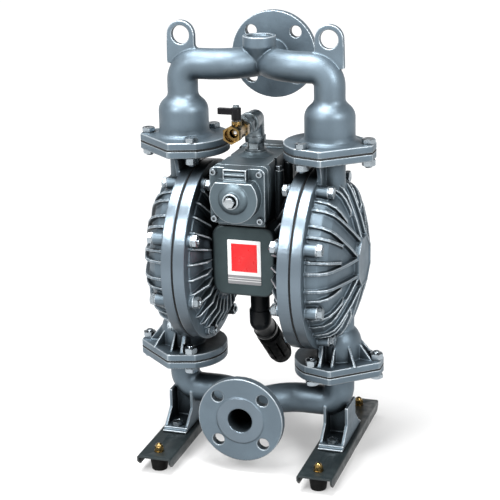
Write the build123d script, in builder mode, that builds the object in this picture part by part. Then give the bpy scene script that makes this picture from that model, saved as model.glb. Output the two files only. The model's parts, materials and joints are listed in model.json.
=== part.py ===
"""Air operated double diaphragm pump with flanged 40 mm ports, modelled in millimetres.

X runs along the pump's axis, from the left chamber to the right one.
-Y is the front, with the suction flange and the reset button, and +Z is up.
The origin is on the floor, under the middle of the pump.
"""
from math import atan2, cos, degrees, radians, sin, sqrt
import os

from build123d import *

os.makedirs("parts", exist_ok=True)

# Heights of the main levels above the floor
pump_axis_height = 336.0
joint_distance = 176.0
suction_axis_height = 91.3
discharge_axis_height = 637.4

# Pipe runs of the two manifolds
pipe_bore = 40.0
pipe_outside = 48.6
arm_bend_radius = 78.0
arm_corner_radius = 27.0
suction_column_x = 132.8
discharge_column_x = 119.2

# Pipe flanges on the suction and discharge ports
port_flange_diameter = 140.0
port_flange_thickness = 16.0
port_flange_reach = 115.0
port_bolt_circle = 105.0
port_bolt_hole = 19.0
raised_face_diameter = 77.0
raised_face_height = 2.0

# Three-bolt joints between manifolds and chambers
joint_flange_radius = 72.0
joint_flange_thickness = 11.75
joint_gasket_thickness = 1.5
joint_bolt_radius = 61.0
joint_bolt_diameter = 12.0
joint_bolt_across = 19.0
joint_bolt_head = 7.5
joint_nut_height = 10.0
stud_end = 3.0

# Chamber clamp rings and their bolts
ring_radius = 146.0
parting_x = 93.5
outer_ring_thickness = 18.0
inner_ring_thickness = 20.0
parting_groove_width = 2.4
parting_groove_depth = 3.0
clamp_bolt_count = 8
clamp_bolt_radius = 130.0
clamp_bolt_diameter = 10.0
clamp_bolt_across = 17.0
clamp_bolt_head = 8.0
clamp_boss_radius = 10.0
outer_boss_length = 19.5
inner_boss_length = 7.0

# Outer chamber bowl, its hub and its fins
bowl_wall_radius = 127.0
bowl_wall = 8.0
hub_radius = 42.0
hub_face_x = 175.0
hub_recess_depth = 2.0
hub_rim = 4.0
band_width = 32.0
fin_thickness = 4.6
short_fin_inner_radius = 78.0
short_fin_angle = 8.5

# Necks of the outer chamber
ball_cage_radius = 30.0
ball_cage_wall = 6.0
ball_cage_slack = 3.8
neck_web_thickness = 7.0

# Inner chamber and its radial ribs
body_half_width = 51.0
inner_chamber_floor = 6.0
inner_rib_count = 32
inner_rib_thickness = 3.2
inner_rib_radius = 100.0
inner_hub_radius = 72.0

# Check valves
ball_radius = 25.0
seat_outside_radius = 32.0
seat_bore_radius = 16.0
seat_cone_radius = 22.0
seat_thickness = 8.0
ball_lift = 16.0
bulb_outside_radius = 39.5
bulb_wall = 6.0

# Piston: rod, discs and diaphragms
stroke = 22.0
rod_radius = 11.0
running_clearance = 0.05
bush_wall = 4.0
bush_length = 22.0
inner_disc_radius = 54.0
outer_disc_radius = 58.0
outer_disc_thickness = 13.0
diaphragm_thickness = 4.0
diaphragm_radius = 120.0
cavity_radius = 110.0
pilot_radius = 4.0
pilot_height = 27.0
end_gap = 1.0

# Centre body
body_half_depth = 78.0
body_bottom = 288.0
body_top = 402.0
body_corner = 20.0

# Air valve chest, its caps and the spool
sheet_gasket = 2.0
spool_axis_height = 456.0
chest_front = -81.0
chest_rear = 58.0
chest_half_width = 38.0
chest_flange_half_width = 44.0
chest_flange_depth = 15.0
chest_top = 498.0
cap_plate_thickness = 18.0
cap_round_radius = 38.0
cap_round_thickness = 20.0
cap_screw_spacing = 73.2
cap_screw_diameter = 6.0
cap_screw_head = 10.0
dome_radius = 23.0
dome_height = 8.0
sleeve_radius = 20.0
spool_radius = 14.0
spool_travel = 7.0
spool_end_space = 10.5
button_radius = 5.0
button_head_radius = 8.5
button_tip_y = -141.0
button_travel = 5.0
tie_bolt_x = 42.0
tie_bolt_front_y = -20.0
tie_bolt_rear_y = 33.0
tie_boss_top = 480.0
tie_boss_radius = 8.0
tie_bolt_grip = 12.0

# Air inlet
inlet_y = -3.0
inlet_boss_top = 505.0
inlet_boss_radius = 18.0
inlet_axis_height = 555.0
inlet_bore = 8.0
thread_radius = 10.5
elbow_band_radius = 16.5
elbow_body_radius = 14.2
elbow_centre_to_face = 36.0
valve_mouth_y = -120.0
valve_stem_y = -94.0
valve_hex_across = 25.0
valve_hex_length = 13.0
valve_ball_radius = 10.4
lever_bottom = 573.0
lever_top = 591.0
lever_length = 29.0

# Exhaust
exhaust_y = 4.0
exhaust_pipe_radius = 15.6
exhaust_elbow_radius = 18.0
exhaust_corner_height = 218.0
exhaust_slope = 42.0
exhaust_leg = 39.0
muffler_radius = 20.0
muffler_length = 111.0

# Base rails and feet
rail_width = 57.0
rail_height = 17.0
rail_wall = 3.2
rail_length = 314.0
rail_top = 30.0
foot_y = 131.0
foot_radius = 16.0
foot_bottom_radius = 12.5
foot_stud_diameter = 8.0
pad_half_width = 20.5
pad_half_length = 62.0
pad_thickness = 8.0
pad_bolt_y = 44.0
pad_bolt_diameter = 10.0
pad_web_thickness = 5.0

# Label plate
label_width = 54.0
label_height = 72.0
label_thickness = 0.8
label_x = 1.8
label_height_centre = 343.6

hole_clearance = 0.5
seat_gap = 0.3
mid_plane = Plane.YZ

lower_joint_height = pump_axis_height - joint_distance
upper_joint_height = pump_axis_height + joint_distance
half_gasket = joint_gasket_thickness / 2
ring_outer_x = parting_x + outer_ring_thickness
ring_inner_x = parting_x - inner_ring_thickness
pipe_radius = pipe_outside / 2
bore_radius = pipe_bore / 2
clamp_angles = [(k + 0.5) * 360 / clamp_bolt_count for k in range(clamp_bolt_count)]
ball_rise = ball_radius * sqrt(2) - seat_cone_radius + seat_gap * sqrt(2)
ball_cage_rise = seat_thickness + ball_rise + ball_lift - ball_cage_slack
floor_x = body_half_width + inner_chamber_floor
inner_disc_thickness = parting_x - diaphragm_thickness / 2 - floor_x - end_gap - stroke
spool_length = chest_rear - chest_front - 2 * (spool_travel + spool_end_space)
tie_points = [(side * tie_bolt_x, y) for side in (-1, 1) for y in (tie_bolt_front_y, tie_bolt_rear_y)]


def finish(builder, label):
    """Names a finished piece and writes it."""
    builder.part.label = label
    export_step(builder.part, f"parts/{label}.step")


def clock(angle, radius, x):
    """A point round the pump's axis, with the angle counted from the front upwards."""
    turn = radians(angle)
    return (x, -radius * cos(turn), pump_axis_height + radius * sin(turn))


def hex_bolt(diameter, length, across, head):
    """A bolt standing on Z: its head above the plane and its shank below."""
    with BuildPart() as bolt:
        with BuildSketch():
            RegularPolygon(across / 2, 6, major_radius=False)
        extrude(amount=head)
        with BuildSketch():
            Circle(diameter / 2)
        extrude(amount=-length)
    return bolt.part


def hex_nut(diameter, across, height):
    """A nut standing on the plane."""
    with BuildPart() as nut:
        with BuildSketch():
            RegularPolygon(across / 2, 6, major_radius=False)
            Circle(diameter / 2, mode=Mode.SUBTRACT)
        extrude(amount=height)
    return nut.part


def facing(points, direction):
    """Places at the points, each with its own Z along the direction."""
    return [Plane(origin=point, z_dir=direction).location for point in points]


def joint_outline(column_x, height):
    """The outline of a three-bolt joint flange, as a sketch on its own level."""
    corners = [(joint_flange_radius * cos(radians(a)), joint_flange_radius * sin(radians(a)))
               for a in (124, 88, 11, -11, -88, -124)]
    with BuildSketch(Plane(origin=(column_x, 0, height))) as outline:
        with BuildLine():
            Polyline(*corners)
            ThreePointArc(corners[-1], (-joint_flange_radius, 0), corners[0])
        make_face()
        fillet(outline.vertices(), radius=7)
    return outline.sketch


def joint_bolt_points(column_x, height):
    """Centres of the three bolts of a joint: one outermost and two towards the centre."""
    return [(column_x + joint_bolt_radius * cos(radians(a)), joint_bolt_radius * sin(radians(a)), height)
            for a in (0, 120, 240)]


def pipe_run(column_x, axis_height, column_end, towards, radius):
    """The right half of a manifold's pipe: column, corner, arm, bend and neck up to the flange."""
    with BuildPart() as run:
        with BuildLine() as route:
            FilletPolyline((column_x, 0, column_end), (column_x, 0, axis_height), (0, 0, axis_height),
                           (0, towards * port_flange_reach, axis_height),
                           radius=[arm_corner_radius, arm_bend_radius])
        with BuildSketch(Plane(origin=route.line @ 0, z_dir=route.line % 0)):
            Circle(radius)
        sweep(path=route.line)
        split(bisect_by=Plane.YZ, keep=Keep.TOP)
    return run.part


def port_flange(axis_height, towards):
    """A pipe flange with its raised face, before the bore is cut."""
    face = Plane(origin=(0, towards * port_flange_reach, axis_height), x_dir=(1, 0, 0), z_dir=(0, towards, 0))
    with BuildPart() as flange:
        with BuildSketch(face.offset(-raised_face_height)):
            Circle(port_flange_diameter / 2)
            with PolarLocations(port_bolt_circle / 2, 4, start_angle=45):
                Circle(port_bolt_hole / 2, mode=Mode.SUBTRACT)
        extrude(amount=raised_face_height - port_flange_thickness)
        with BuildSketch(face):
            Circle(raised_face_diameter / 2)
        extrude(amount=-raised_face_height - 1)
    return flange.part


# Suction manifold, with its feet
suction_flange_top = lower_joint_height - half_gasket
suction_flange_bottom = suction_flange_top - joint_flange_thickness
pad_top = rail_top + pad_thickness

with BuildPart() as suction_manifold:
    add(pipe_run(suction_column_x, suction_axis_height, suction_flange_top, -1, pipe_radius))
    add(joint_outline(suction_column_x, suction_flange_bottom))
    extrude(amount=joint_flange_thickness)
    # The foot: two side webs and a cross web between the pad and the elbow
    with BuildSketch(Plane(origin=(suction_column_x, 0, 0), x_dir=(0, 1, 0), z_dir=(1, 0, 0))):
        with BuildLine():
            Polyline((-26, suction_axis_height), (-26, 62), (-52, pad_top), (52, pad_top), (26, 62),
                     (26, suction_axis_height), close=True)
        make_face()
    side_web = pad_half_width - pad_web_thickness
    extrude(amount=side_web + pad_web_thickness, both=True)
    for bay in (-1, 1):
        with Locations((suction_column_x, bay * (pad_half_length + pad_web_thickness) / 2, pad_top)):
            Box(2 * side_web, pad_half_length, suction_axis_height - pad_top,
                align=(Align.CENTER, Align.CENTER, Align.MIN), mode=Mode.SUBTRACT)
    add(pipe_run(suction_column_x, suction_axis_height, suction_flange_top, -1, pipe_radius))
    with BuildSketch(Plane(origin=(suction_column_x, 0, rail_top))):
        Rectangle(2 * pad_half_width, 2 * pad_half_length)
    extrude(amount=pad_thickness)
    for end in (-1, 1):
        with Locations((suction_column_x, end * (pad_half_length - 3), pad_top)):
            Box(3 * pad_half_width, 6, 8, mode=Mode.SUBTRACT)
    add(pipe_run(suction_column_x, suction_axis_height, suction_flange_top, -1, bore_radius),
        mode=Mode.SUBTRACT)
    with Locations(*facing(joint_bolt_points(suction_column_x, suction_flange_top), (0, 0, 1))):
        Hole(joint_bolt_diameter / 2 + hole_clearance, depth=joint_flange_thickness)
    with Locations((suction_column_x, pad_bolt_y, pad_top), (suction_column_x, -pad_bolt_y, pad_top)):
        Hole(pad_bolt_diameter / 2 + hole_clearance, depth=pad_thickness)
    mirror(about=mid_plane)
    add(port_flange(suction_axis_height, -1))
    with BuildSketch(Plane(origin=(0, -port_flange_reach, suction_axis_height), z_dir=(0, 1, 0))):
        Circle(bore_radius)
    extrude(amount=port_flange_reach - arm_bend_radius, mode=Mode.SUBTRACT)
finish(suction_manifold, "suction_manifold")

# Discharge manifold, with valve bulbs, lifting eyes and the upright boss
discharge_flange_bottom = upper_joint_height + half_gasket
discharge_flange_top = discharge_flange_bottom + joint_flange_thickness
bulb_base = discharge_flange_top + 4
bulb_shoulder = 566.0
bulb_top = 592.0
ball_stop_height = (discharge_flange_bottom - joint_gasket_thickness + ball_rise + ball_lift + end_gap
                    + sqrt(ball_radius ** 2 - bore_radius ** 2))
eye_height = 682.0
eye_hole_radius = 14.5
eye_radius = 22.5
eye_thickness = 10.0
boss_y = 26.0
boss_radius = 26.0
boss_root = 636.0
boss_shoulder = 664.0
boss_top = 680.0
boss_recess_radius = 20.0
boss_recess_depth = 4.0

with BuildPart() as discharge_passage:
    add(pipe_run(discharge_column_x, discharge_axis_height, ball_stop_height - 1, 1, bore_radius))
    with BuildSketch(Plane(origin=(discharge_column_x, 0, 0), x_dir=(1, 0, 0), z_dir=(0, -1, 0))):
        with BuildLine():
            Polyline((0, discharge_flange_bottom), (ball_cage_radius - 1, discharge_flange_bottom),
                     (ball_cage_radius - 1, discharge_flange_bottom + 5),
                     (bulb_outside_radius - bulb_wall, discharge_flange_bottom + 9),
                     (bulb_outside_radius - bulb_wall, ball_stop_height - 14),
                     (bore_radius, ball_stop_height),
                     (0, ball_stop_height), close=True)
        make_face()
    revolve(axis=Axis((discharge_column_x, 0, 0), (0, 0, 1)))
    mirror(about=mid_plane)
    with BuildSketch(Plane(origin=(0, port_flange_reach, discharge_axis_height), z_dir=(0, -1, 0))):
        Circle(bore_radius)
    extrude(amount=port_flange_reach - arm_bend_radius)

with BuildPart() as discharge_manifold:
    add(pipe_run(discharge_column_x, discharge_axis_height, bulb_shoulder, 1, pipe_radius))
    add(joint_outline(discharge_column_x, discharge_flange_bottom))
    extrude(amount=joint_flange_thickness)
    with BuildSketch(Plane(origin=(discharge_column_x, 0, 0), x_dir=(1, 0, 0), z_dir=(0, -1, 0))):
        with BuildLine():
            Polyline((0, discharge_flange_top - 1), (bulb_outside_radius + 8, discharge_flange_top - 1),
                     (bulb_outside_radius + 8, discharge_flange_top), (bulb_outside_radius + 1, bulb_base),
                     (bulb_outside_radius, bulb_base + 6), (bulb_outside_radius, bulb_shoulder - 4))
            Spline((bulb_outside_radius, bulb_shoulder - 4), (bulb_outside_radius - 8, bulb_shoulder + 14),
                   (pipe_radius, bulb_top), tangents=((0, 1), (0, 1)))
            Polyline((pipe_radius, bulb_top), (0, bulb_top), (0, discharge_flange_top - 1))
        make_face()
    revolve(axis=Axis((discharge_column_x, 0, 0), (0, 0, 1)))
    # Lifting eye: a flat lug that flares inwards at its base
    with BuildSketch(Plane(origin=(discharge_column_x, 0, 0), x_dir=(1, 0, 0), z_dir=(0, -1, 0))):
        with BuildLine():
            Line((pipe_radius - 0.6, discharge_axis_height), (eye_radius, eye_height))
            ThreePointArc((eye_radius, eye_height), (0, eye_height + eye_radius), (-eye_radius, eye_height))
            Line((-eye_radius, eye_height), (-eye_radius, 668))
            ThreePointArc((-eye_radius, 668), (-eye_radius - 2.2, 662.5), (-eye_radius - 8, 660))
            Polyline((-eye_radius - 8, 660), (-eye_radius - 8, discharge_axis_height),
                     (pipe_radius - 0.6, discharge_axis_height))
        make_face()
    extrude(amount=eye_thickness / 2, both=True)
    with Locations(Plane(origin=(discharge_column_x, 0, eye_height), z_dir=(0, 1, 0)).location):
        Cylinder(eye_hole_radius, 4 * eye_thickness, mode=Mode.SUBTRACT)
    with Locations(*facing(joint_bolt_points(discharge_column_x, discharge_flange_top), (0, 0, 1))):
        Cylinder(joint_bolt_across / 2 + 2.5, 12, align=(Align.CENTER, Align.CENTER, Align.MIN),
                 mode=Mode.SUBTRACT)
        Hole(joint_bolt_diameter / 2 + hole_clearance, depth=joint_flange_thickness)
    mirror(about=mid_plane)
    add(port_flange(discharge_axis_height, 1))
    # Upright boss over the place where the arms meet
    with BuildSketch(Plane(origin=(0, boss_y, 0), x_dir=(1, 0, 0), z_dir=(0, -1, 0))):
        with BuildLine():
            Polyline((0, boss_root), (boss_radius / 2, boss_root), (boss_radius, boss_shoulder),
                     (boss_radius, boss_top), (boss_recess_radius, boss_top),
                     (boss_recess_radius, boss_top - boss_recess_depth), (0, boss_top - boss_recess_depth),
                     close=True)
        make_face()
    revolve(axis=Axis((0, boss_y, 0), (0, 0, 1)))
    add(discharge_passage.part, mode=Mode.SUBTRACT)
finish(discharge_manifold, "discharge_manifold")


def bowl_profile(inset):
    """Radius and distance along the axis of the bowl's outer skin, set in by a wall."""
    return [(bowl_wall_radius - inset, ring_outer_x + 4), (bowl_wall_radius - 4 - inset, 130 - inset * 0.6),
            (bowl_wall_radius - 17 - inset, 143 - inset), (90 - inset * 0.7, 151.5 - inset),
            (66 - inset * 0.5, 159 - inset), (hub_radius - 12, 169.5 - inset)]


def axial_plane(angle, offset=0.0):
    """A plane through the pump's axis at a clock angle: its x is the radius and its y the axis."""
    turn = radians(angle)
    outward = Vector(0, -cos(turn), sin(turn))
    normal = outward.cross(Vector(1, 0, 0))
    origin = Vector(0, 0, pump_axis_height) + normal * offset
    return Plane(origin=origin, x_dir=outward, z_dir=normal)


def fin_profile(inner_radius, tip_drop):
    """Outline of a fin on an axial plane, from its inner end to the ring."""
    foot = 100.0
    edge = [(70, 166), (90, 159), (108, 152), (119, 145), (126, 135)]
    start_x = hub_face_x - tip_drop
    kept = [point for point in edge if point[0] > inner_radius + 6]
    with BuildLine() as outline:
        Polyline((inner_radius, start_x), *kept, (130, ring_outer_x + 8), (130, foot), (inner_radius, foot),
                 close=True)
    return outline.line


def turned(piece, angle):
    """A copy of a piece turned about the pump's axis by a clock angle."""
    return piece.rotate(Axis((0, 0, pump_axis_height), (1, 0, 0)), -angle)


# Fins of the outer chamber at the front, ready to be turned round the bowl
with BuildPart() as long_fin_pair:
    for side in (-1, 1):
        with BuildSketch(axial_plane(0, side * (band_width - fin_thickness) / 2)):
            add(fin_profile(hub_radius - 5, 0.0))
            make_face()
        extrude(amount=fin_thickness / 2, both=True)

with BuildPart() as bolt_station:
    for side in (-1, 1):
        with BuildSketch(axial_plane(side * short_fin_angle)):
            add(fin_profile(short_fin_inner_radius, hub_face_x - 158))
            make_face()
        extrude(amount=fin_thickness / 2, both=True)
    with BuildSketch(Plane(origin=clock(0, clamp_bolt_radius, ring_outer_x), z_dir=(1, 0, 0))):
        Circle(clamp_boss_radius)
    extrude(amount=outer_boss_length)

# Right outer chamber: ring, bowl, fins, hub, necks and joint flanges
lower_flange_top = lower_joint_height + half_gasket + joint_flange_thickness
upper_flange_bottom = upper_joint_height - half_gasket - joint_flange_thickness
cage_height = lower_joint_height + half_gasket + ball_cage_rise
cage_neck = 52.0
suction_section = Plane(origin=(suction_column_x, 0, 0), x_dir=(1, 0, 0), z_dir=(0, -1, 0))
suction_axis = Axis((suction_column_x, 0, 0), (0, 0, 1))


def cage_outline(radius, neck_radius):
    """Half section of the ball cage: a straight part, a dome and the neck above it."""
    neck_height = cage_height + sqrt(radius ** 2 - neck_radius ** 2)
    middle = ((radius + neck_radius) / 2, cage_height + sqrt(radius ** 2 - ((radius + neck_radius) / 2) ** 2))
    with BuildSketch(Plane.XY) as outline:
        with BuildLine():
            Polyline((0, lower_joint_height + half_gasket), (radius, lower_joint_height + half_gasket),
                     (radius, cage_height))
            ThreePointArc((radius, cage_height), middle, (neck_radius, neck_height))
            Polyline((neck_radius, neck_height), (neck_radius, cage_height + cage_neck),
                     (0, cage_height + cage_neck), (0, lower_joint_height + half_gasket))
        make_face()
    return outline.sketch


with BuildPart() as outer_chamber_right:
    with BuildSketch(axial_plane(90)):
        with BuildLine():
            skin = Polyline(*bowl_profile(0))
            Polyline(skin @ 1, (hub_radius - 12, 150), (0, 150), (0, parting_x),
                     (ring_radius - parting_groove_depth, parting_x),
                     (ring_radius - parting_groove_depth, parting_x + parting_groove_width / 2),
                     (ring_radius, parting_x + parting_groove_width / 2), (ring_radius, ring_outer_x),
                     (bowl_wall_radius, ring_outer_x), skin @ 0)
        make_face()
    revolve(axis=Axis((0, 0, pump_axis_height), (1, 0, 0)))
    # Hub: an octagonal disc with a shallow recess
    with BuildSketch(Plane(origin=(hub_face_x, 0, pump_axis_height), x_dir=(0, 1, 0), z_dir=(1, 0, 0))):
        RegularPolygon(hub_radius, 8, rotation=22.5)
    extrude(amount=-(hub_face_x - 150))
    with BuildSketch(Plane(origin=(hub_face_x, 0, pump_axis_height), x_dir=(0, 1, 0), z_dir=(1, 0, 0))):
        RegularPolygon(hub_radius - hub_rim, 8, rotation=22.5)
    extrude(amount=-hub_recess_depth, mode=Mode.SUBTRACT)
    # Long fins run in pairs from the sides of the hub, short ones flank the bolts
    add([turned(long_fin_pair.part, angle) for angle in range(0, 360, 45)])
    add([turned(bolt_station.part, angle) for angle in clamp_angles])
    # Upper neck and its flange
    with BuildSketch(Plane(origin=(discharge_column_x, 0, upper_flange_bottom))):
        Circle(pipe_radius)
    extrude(amount=-60)
    add(joint_outline(discharge_column_x, upper_flange_bottom))
    extrude(amount=joint_flange_thickness)
    # Lower neck with its ball cage and flange
    with BuildSketch(suction_section):
        add(cage_outline(ball_cage_radius + ball_cage_wall, pipe_radius))
    revolve(axis=suction_axis)
    add(joint_outline(suction_column_x, lower_joint_height + half_gasket))
    extrude(amount=joint_flange_thickness)
    # Webs between the ring and the two flanges
    with BuildSketch(Plane(origin=(ring_outer_x, 0, 0), x_dir=(0, 1, 0), z_dir=(1, 0, 0))):
        for side in (-1, 1):
            with BuildLine():
                Line((0, 440), (0, upper_flange_bottom + 1))
                Line((0, upper_flange_bottom + 1), (side * 60, upper_flange_bottom + 1))
                ThreePointArc((side * 60, upper_flange_bottom + 1), (side * 50, 484), (side * 48, 460))
                Line((side * 48, 460), (0, 440))
            make_face()
            with BuildLine():
                Polyline((0, 240), (0, lower_flange_top - 1), (side * 62, lower_flange_top - 1),
                         (side * 46, 200), (side * 46, 215), (0, 240))
            make_face()
    extrude(amount=neck_web_thickness)
    for angle in (-88, -50, -11, 11, 50, 88):
        turn = radians(angle)
        web = Plane(origin=(suction_column_x, 0, 0), x_dir=(cos(turn), sin(turn), 0),
                    z_dir=(sin(turn), -cos(turn), 0))
        with BuildSketch(web):
            with BuildLine():
                Polyline((20, lower_flange_top - 1), (joint_flange_radius - 14, lower_flange_top - 1),
                         (joint_flange_radius - 14, lower_flange_top), (30, cage_height + 12),
                         (20, cage_height), close=True)
            make_face()
        extrude(amount=2, both=True)
    # The space for the diaphragm's plate and the fluid
    with BuildSketch(axial_plane(90)):
        with BuildLine():
            inner = Polyline(*bowl_profile(bowl_wall)[1:])
            Polyline(inner @ 1, (0, inner.position_at(1).Y), (0, parting_x),
                     (diaphragm_radius, parting_x), (diaphragm_radius, parting_x + diaphragm_thickness / 2),
                     (cavity_radius, parting_x + diaphragm_thickness / 2), (cavity_radius, ring_outer_x),
                     inner @ 0)
        make_face()
    revolve(axis=Axis((0, 0, pump_axis_height), (1, 0, 0)), mode=Mode.SUBTRACT)
    # Passages, seat recesses and bolt holes
    with BuildSketch(Plane(origin=(discharge_column_x, 0, upper_flange_bottom + joint_flange_thickness))):
        Circle(bore_radius)
    extrude(amount=-80, mode=Mode.SUBTRACT)
    with BuildSketch(Plane(origin=(discharge_column_x, 0, upper_flange_bottom + joint_flange_thickness))):
        Circle(seat_outside_radius)
    extrude(amount=-seat_thickness, mode=Mode.SUBTRACT)
    with BuildSketch(suction_section):
        add(cage_outline(ball_cage_radius, bore_radius))
    revolve(axis=suction_axis, mode=Mode.SUBTRACT)
    with BuildSketch(Plane(origin=(suction_column_x, 0, lower_joint_height + half_gasket))):
        Circle(seat_outside_radius)
    extrude(amount=seat_thickness, mode=Mode.SUBTRACT)
    upper_bolt_points = joint_bolt_points(discharge_column_x, upper_joint_height - half_gasket)
    with Locations(*facing(upper_bolt_points, (0, 0, 1))):
        Hole(joint_bolt_diameter / 2 + hole_clearance, depth=joint_flange_thickness)
    with Locations(*facing(joint_bolt_points(suction_column_x, lower_flange_top), (0, 0, 1))):
        Cylinder(joint_bolt_across / 2 + 2.5, 14, align=(Align.CENTER, Align.CENTER, Align.MIN),
                 mode=Mode.SUBTRACT)
        Hole(joint_bolt_diameter / 2 + hole_clearance, depth=joint_flange_thickness)
    for angle in clamp_angles:
        bolt_seat = clock(angle, clamp_bolt_radius, ring_outer_x + outer_boss_length)
        with Locations(*facing([bolt_seat], (1, 0, 0))):
            Cylinder(clamp_bolt_across / 2 + 2, 12, align=(Align.CENTER, Align.CENTER, Align.MIN),
                     mode=Mode.SUBTRACT)
            Hole(clamp_bolt_diameter / 2 + hole_clearance, depth=outer_ring_thickness + outer_boss_length)
finish(outer_chamber_right, "outer_chamber_right")

with BuildPart() as outer_chamber_left:
    mirror(outer_chamber_right.part, about=mid_plane)
finish(outer_chamber_left, "outer_chamber_left")

# Inner chambers: ring, cone, radial ribs and the floor against the centre body
inner_wall = [(126.0, ring_inner_x - 2.0), (112.0, 67.0), (90.0, 62.0), (inner_hub_radius, body_half_width)]
inner_cavity = [(cavity_radius, ring_inner_x + 6), (100.0, 75.5), (80.0, 69.0), (64.0, 61.0),
                (60.0, floor_x)]
diaphragm_seat = diaphragm_thickness / 2

with BuildPart() as inner_rib:
    with BuildSketch(axial_plane(0)):
        with BuildLine():
            Polyline((inner_hub_radius - 10, body_half_width), (inner_rib_radius, body_half_width),
                     (127, 66), (132, ring_inner_x + 1), (118, ring_inner_x + 1), (90, 66),
                     (inner_hub_radius - 10, 57), close=True)
        make_face()
    extrude(amount=inner_rib_thickness / 2, both=True)

with BuildPart() as inner_boss:
    with BuildSketch(Plane(origin=clock(0, clamp_bolt_radius, ring_inner_x + 1), z_dir=(-1, 0, 0))):
        Circle(clamp_boss_radius)
    extrude(amount=inner_boss_length + 1)

with BuildPart() as inner_chamber_right:
    with BuildSketch(axial_plane(90)):
        with BuildLine():
            Polyline((0, body_half_width), *reversed(inner_wall), (126, ring_inner_x),
                     (ring_radius, ring_inner_x),
                     (ring_radius, parting_x - parting_groove_width / 2),
                     (ring_radius - parting_groove_depth, parting_x - parting_groove_width / 2),
                     (ring_radius - parting_groove_depth, parting_x), (diaphragm_radius, parting_x),
                     (diaphragm_radius, parting_x - diaphragm_seat),
                     (cavity_radius, parting_x - diaphragm_seat),
                     *inner_cavity, (0, floor_x), close=True)
        make_face()
    revolve(axis=Axis((0, 0, pump_axis_height), (1, 0, 0)))
    add([turned(inner_rib.part, (k + 0.5) * 360 / inner_rib_count) for k in range(inner_rib_count)])
    add([turned(inner_boss.part, angle) for angle in clamp_angles])
    for angle in clamp_angles:
        nut_seat = clock(angle, clamp_bolt_radius, ring_inner_x - inner_boss_length)
        with Locations(*facing([nut_seat], (-1, 0, 0))):
            Cylinder(clamp_bolt_across / 2 + 2, 12, align=(Align.CENTER, Align.CENTER, Align.MIN),
                     mode=Mode.SUBTRACT)
            Hole(clamp_bolt_diameter / 2 + hole_clearance, depth=inner_ring_thickness + inner_boss_length)
    with Locations(*facing([(body_half_width, 0, pump_axis_height)], (-1, 0, 0))):
        Hole(rod_radius + bush_wall, depth=inner_chamber_floor)
    with Locations(*facing([(body_half_width, 0, pump_axis_height + pilot_height)], (-1, 0, 0))):
        Hole(pilot_radius + running_clearance, depth=inner_chamber_floor)
finish(inner_chamber_right, "inner_chamber_right")

with BuildPart() as inner_chamber_left:
    mirror(inner_chamber_right.part, about=mid_plane)
finish(inner_chamber_left, "inner_chamber_left")

# Gaskets of the three-bolt joints
for name, column_x, level in (("suction", suction_column_x, lower_joint_height),
                              ("discharge", discharge_column_x, upper_joint_height)):
    with BuildPart() as joint_gaskets:
        add(joint_outline(column_x, level - half_gasket))
        extrude(amount=joint_gasket_thickness)
        with Locations((column_x, 0, level + half_gasket)):
            Hole(ball_cage_radius - 1, depth=joint_gasket_thickness)
        with Locations(*facing(joint_bolt_points(column_x, level + half_gasket), (0, 0, 1))):
            Hole(joint_bolt_diameter / 2 + hole_clearance, depth=joint_gasket_thickness)
        mirror(about=mid_plane)
    finish(joint_gaskets, f"{name}_joint_gaskets")

# Bolts and nuts of the three-bolt joints: heads above on the discharge side, below on the suction side
joint_grip = 2 * joint_flange_thickness + joint_gasket_thickness
joint_bolt = hex_bolt(joint_bolt_diameter, joint_grip + joint_nut_height + stud_end, joint_bolt_across,
                      joint_bolt_head)
joint_nut = hex_nut(joint_bolt_diameter, joint_bolt_across, joint_nut_height)
for name, column_x, head_level, nut_level, outwards in (
        ("suction", suction_column_x, suction_flange_bottom, lower_flange_top, -1),
        ("discharge", discharge_column_x, discharge_flange_top, upper_flange_bottom, 1)):
    with BuildPart() as joint_bolts:
        with Locations(*facing(joint_bolt_points(column_x, head_level), (0, 0, outwards))):
            add(joint_bolt)
        mirror(about=mid_plane)
    finish(joint_bolts, f"{name}_joint_bolts")
    with BuildPart() as joint_nuts:
        with Locations(*facing(joint_bolt_points(column_x, nut_level), (0, 0, -outwards))):
            add(joint_nut)
        mirror(about=mid_plane)
    finish(joint_nuts, f"{name}_joint_nuts")

# Clamp bolts through both chamber rings, with their nuts on the inner side
clamp_head_x = ring_outer_x + outer_boss_length
clamp_nut_x = ring_inner_x - inner_boss_length
clamp_grip = clamp_head_x - clamp_nut_x
clamp_bolt = hex_bolt(clamp_bolt_diameter, clamp_grip + clamp_bolt_head + stud_end, clamp_bolt_across,
                      clamp_bolt_head)
clamp_nut = hex_nut(clamp_bolt_diameter, clamp_bolt_across, clamp_bolt_head)
with BuildPart() as clamp_bolts:
    with Locations(*facing([clock(a, clamp_bolt_radius, clamp_head_x) for a in clamp_angles], (1, 0, 0))):
        add(clamp_bolt)
    mirror(about=mid_plane)
finish(clamp_bolts, "clamp_bolts")
with BuildPart() as clamp_nuts:
    with Locations(*facing([clock(a, clamp_bolt_radius, clamp_nut_x) for a in clamp_angles], (-1, 0, 0))):
        add(clamp_nut)
    mirror(about=mid_plane)
finish(clamp_nuts, "clamp_nuts")


def valve_seat(column_x, base):
    """A seat ring with a cone for the ball on its upper side."""
    with BuildPart() as seat:
        with BuildSketch(Plane(origin=(column_x, 0, 0), x_dir=(1, 0, 0), z_dir=(0, -1, 0))):
            with BuildLine():
                Polyline((seat_bore_radius, base), (seat_outside_radius, base),
                         (seat_outside_radius, base + seat_thickness),
                         (seat_cone_radius, base + seat_thickness),
                         (seat_bore_radius, base + seat_thickness - seat_cone_radius + seat_bore_radius),
                         close=True)
            make_face()
        revolve(axis=Axis((column_x, 0, 0), (0, 0, 1)))
    return seat


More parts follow.
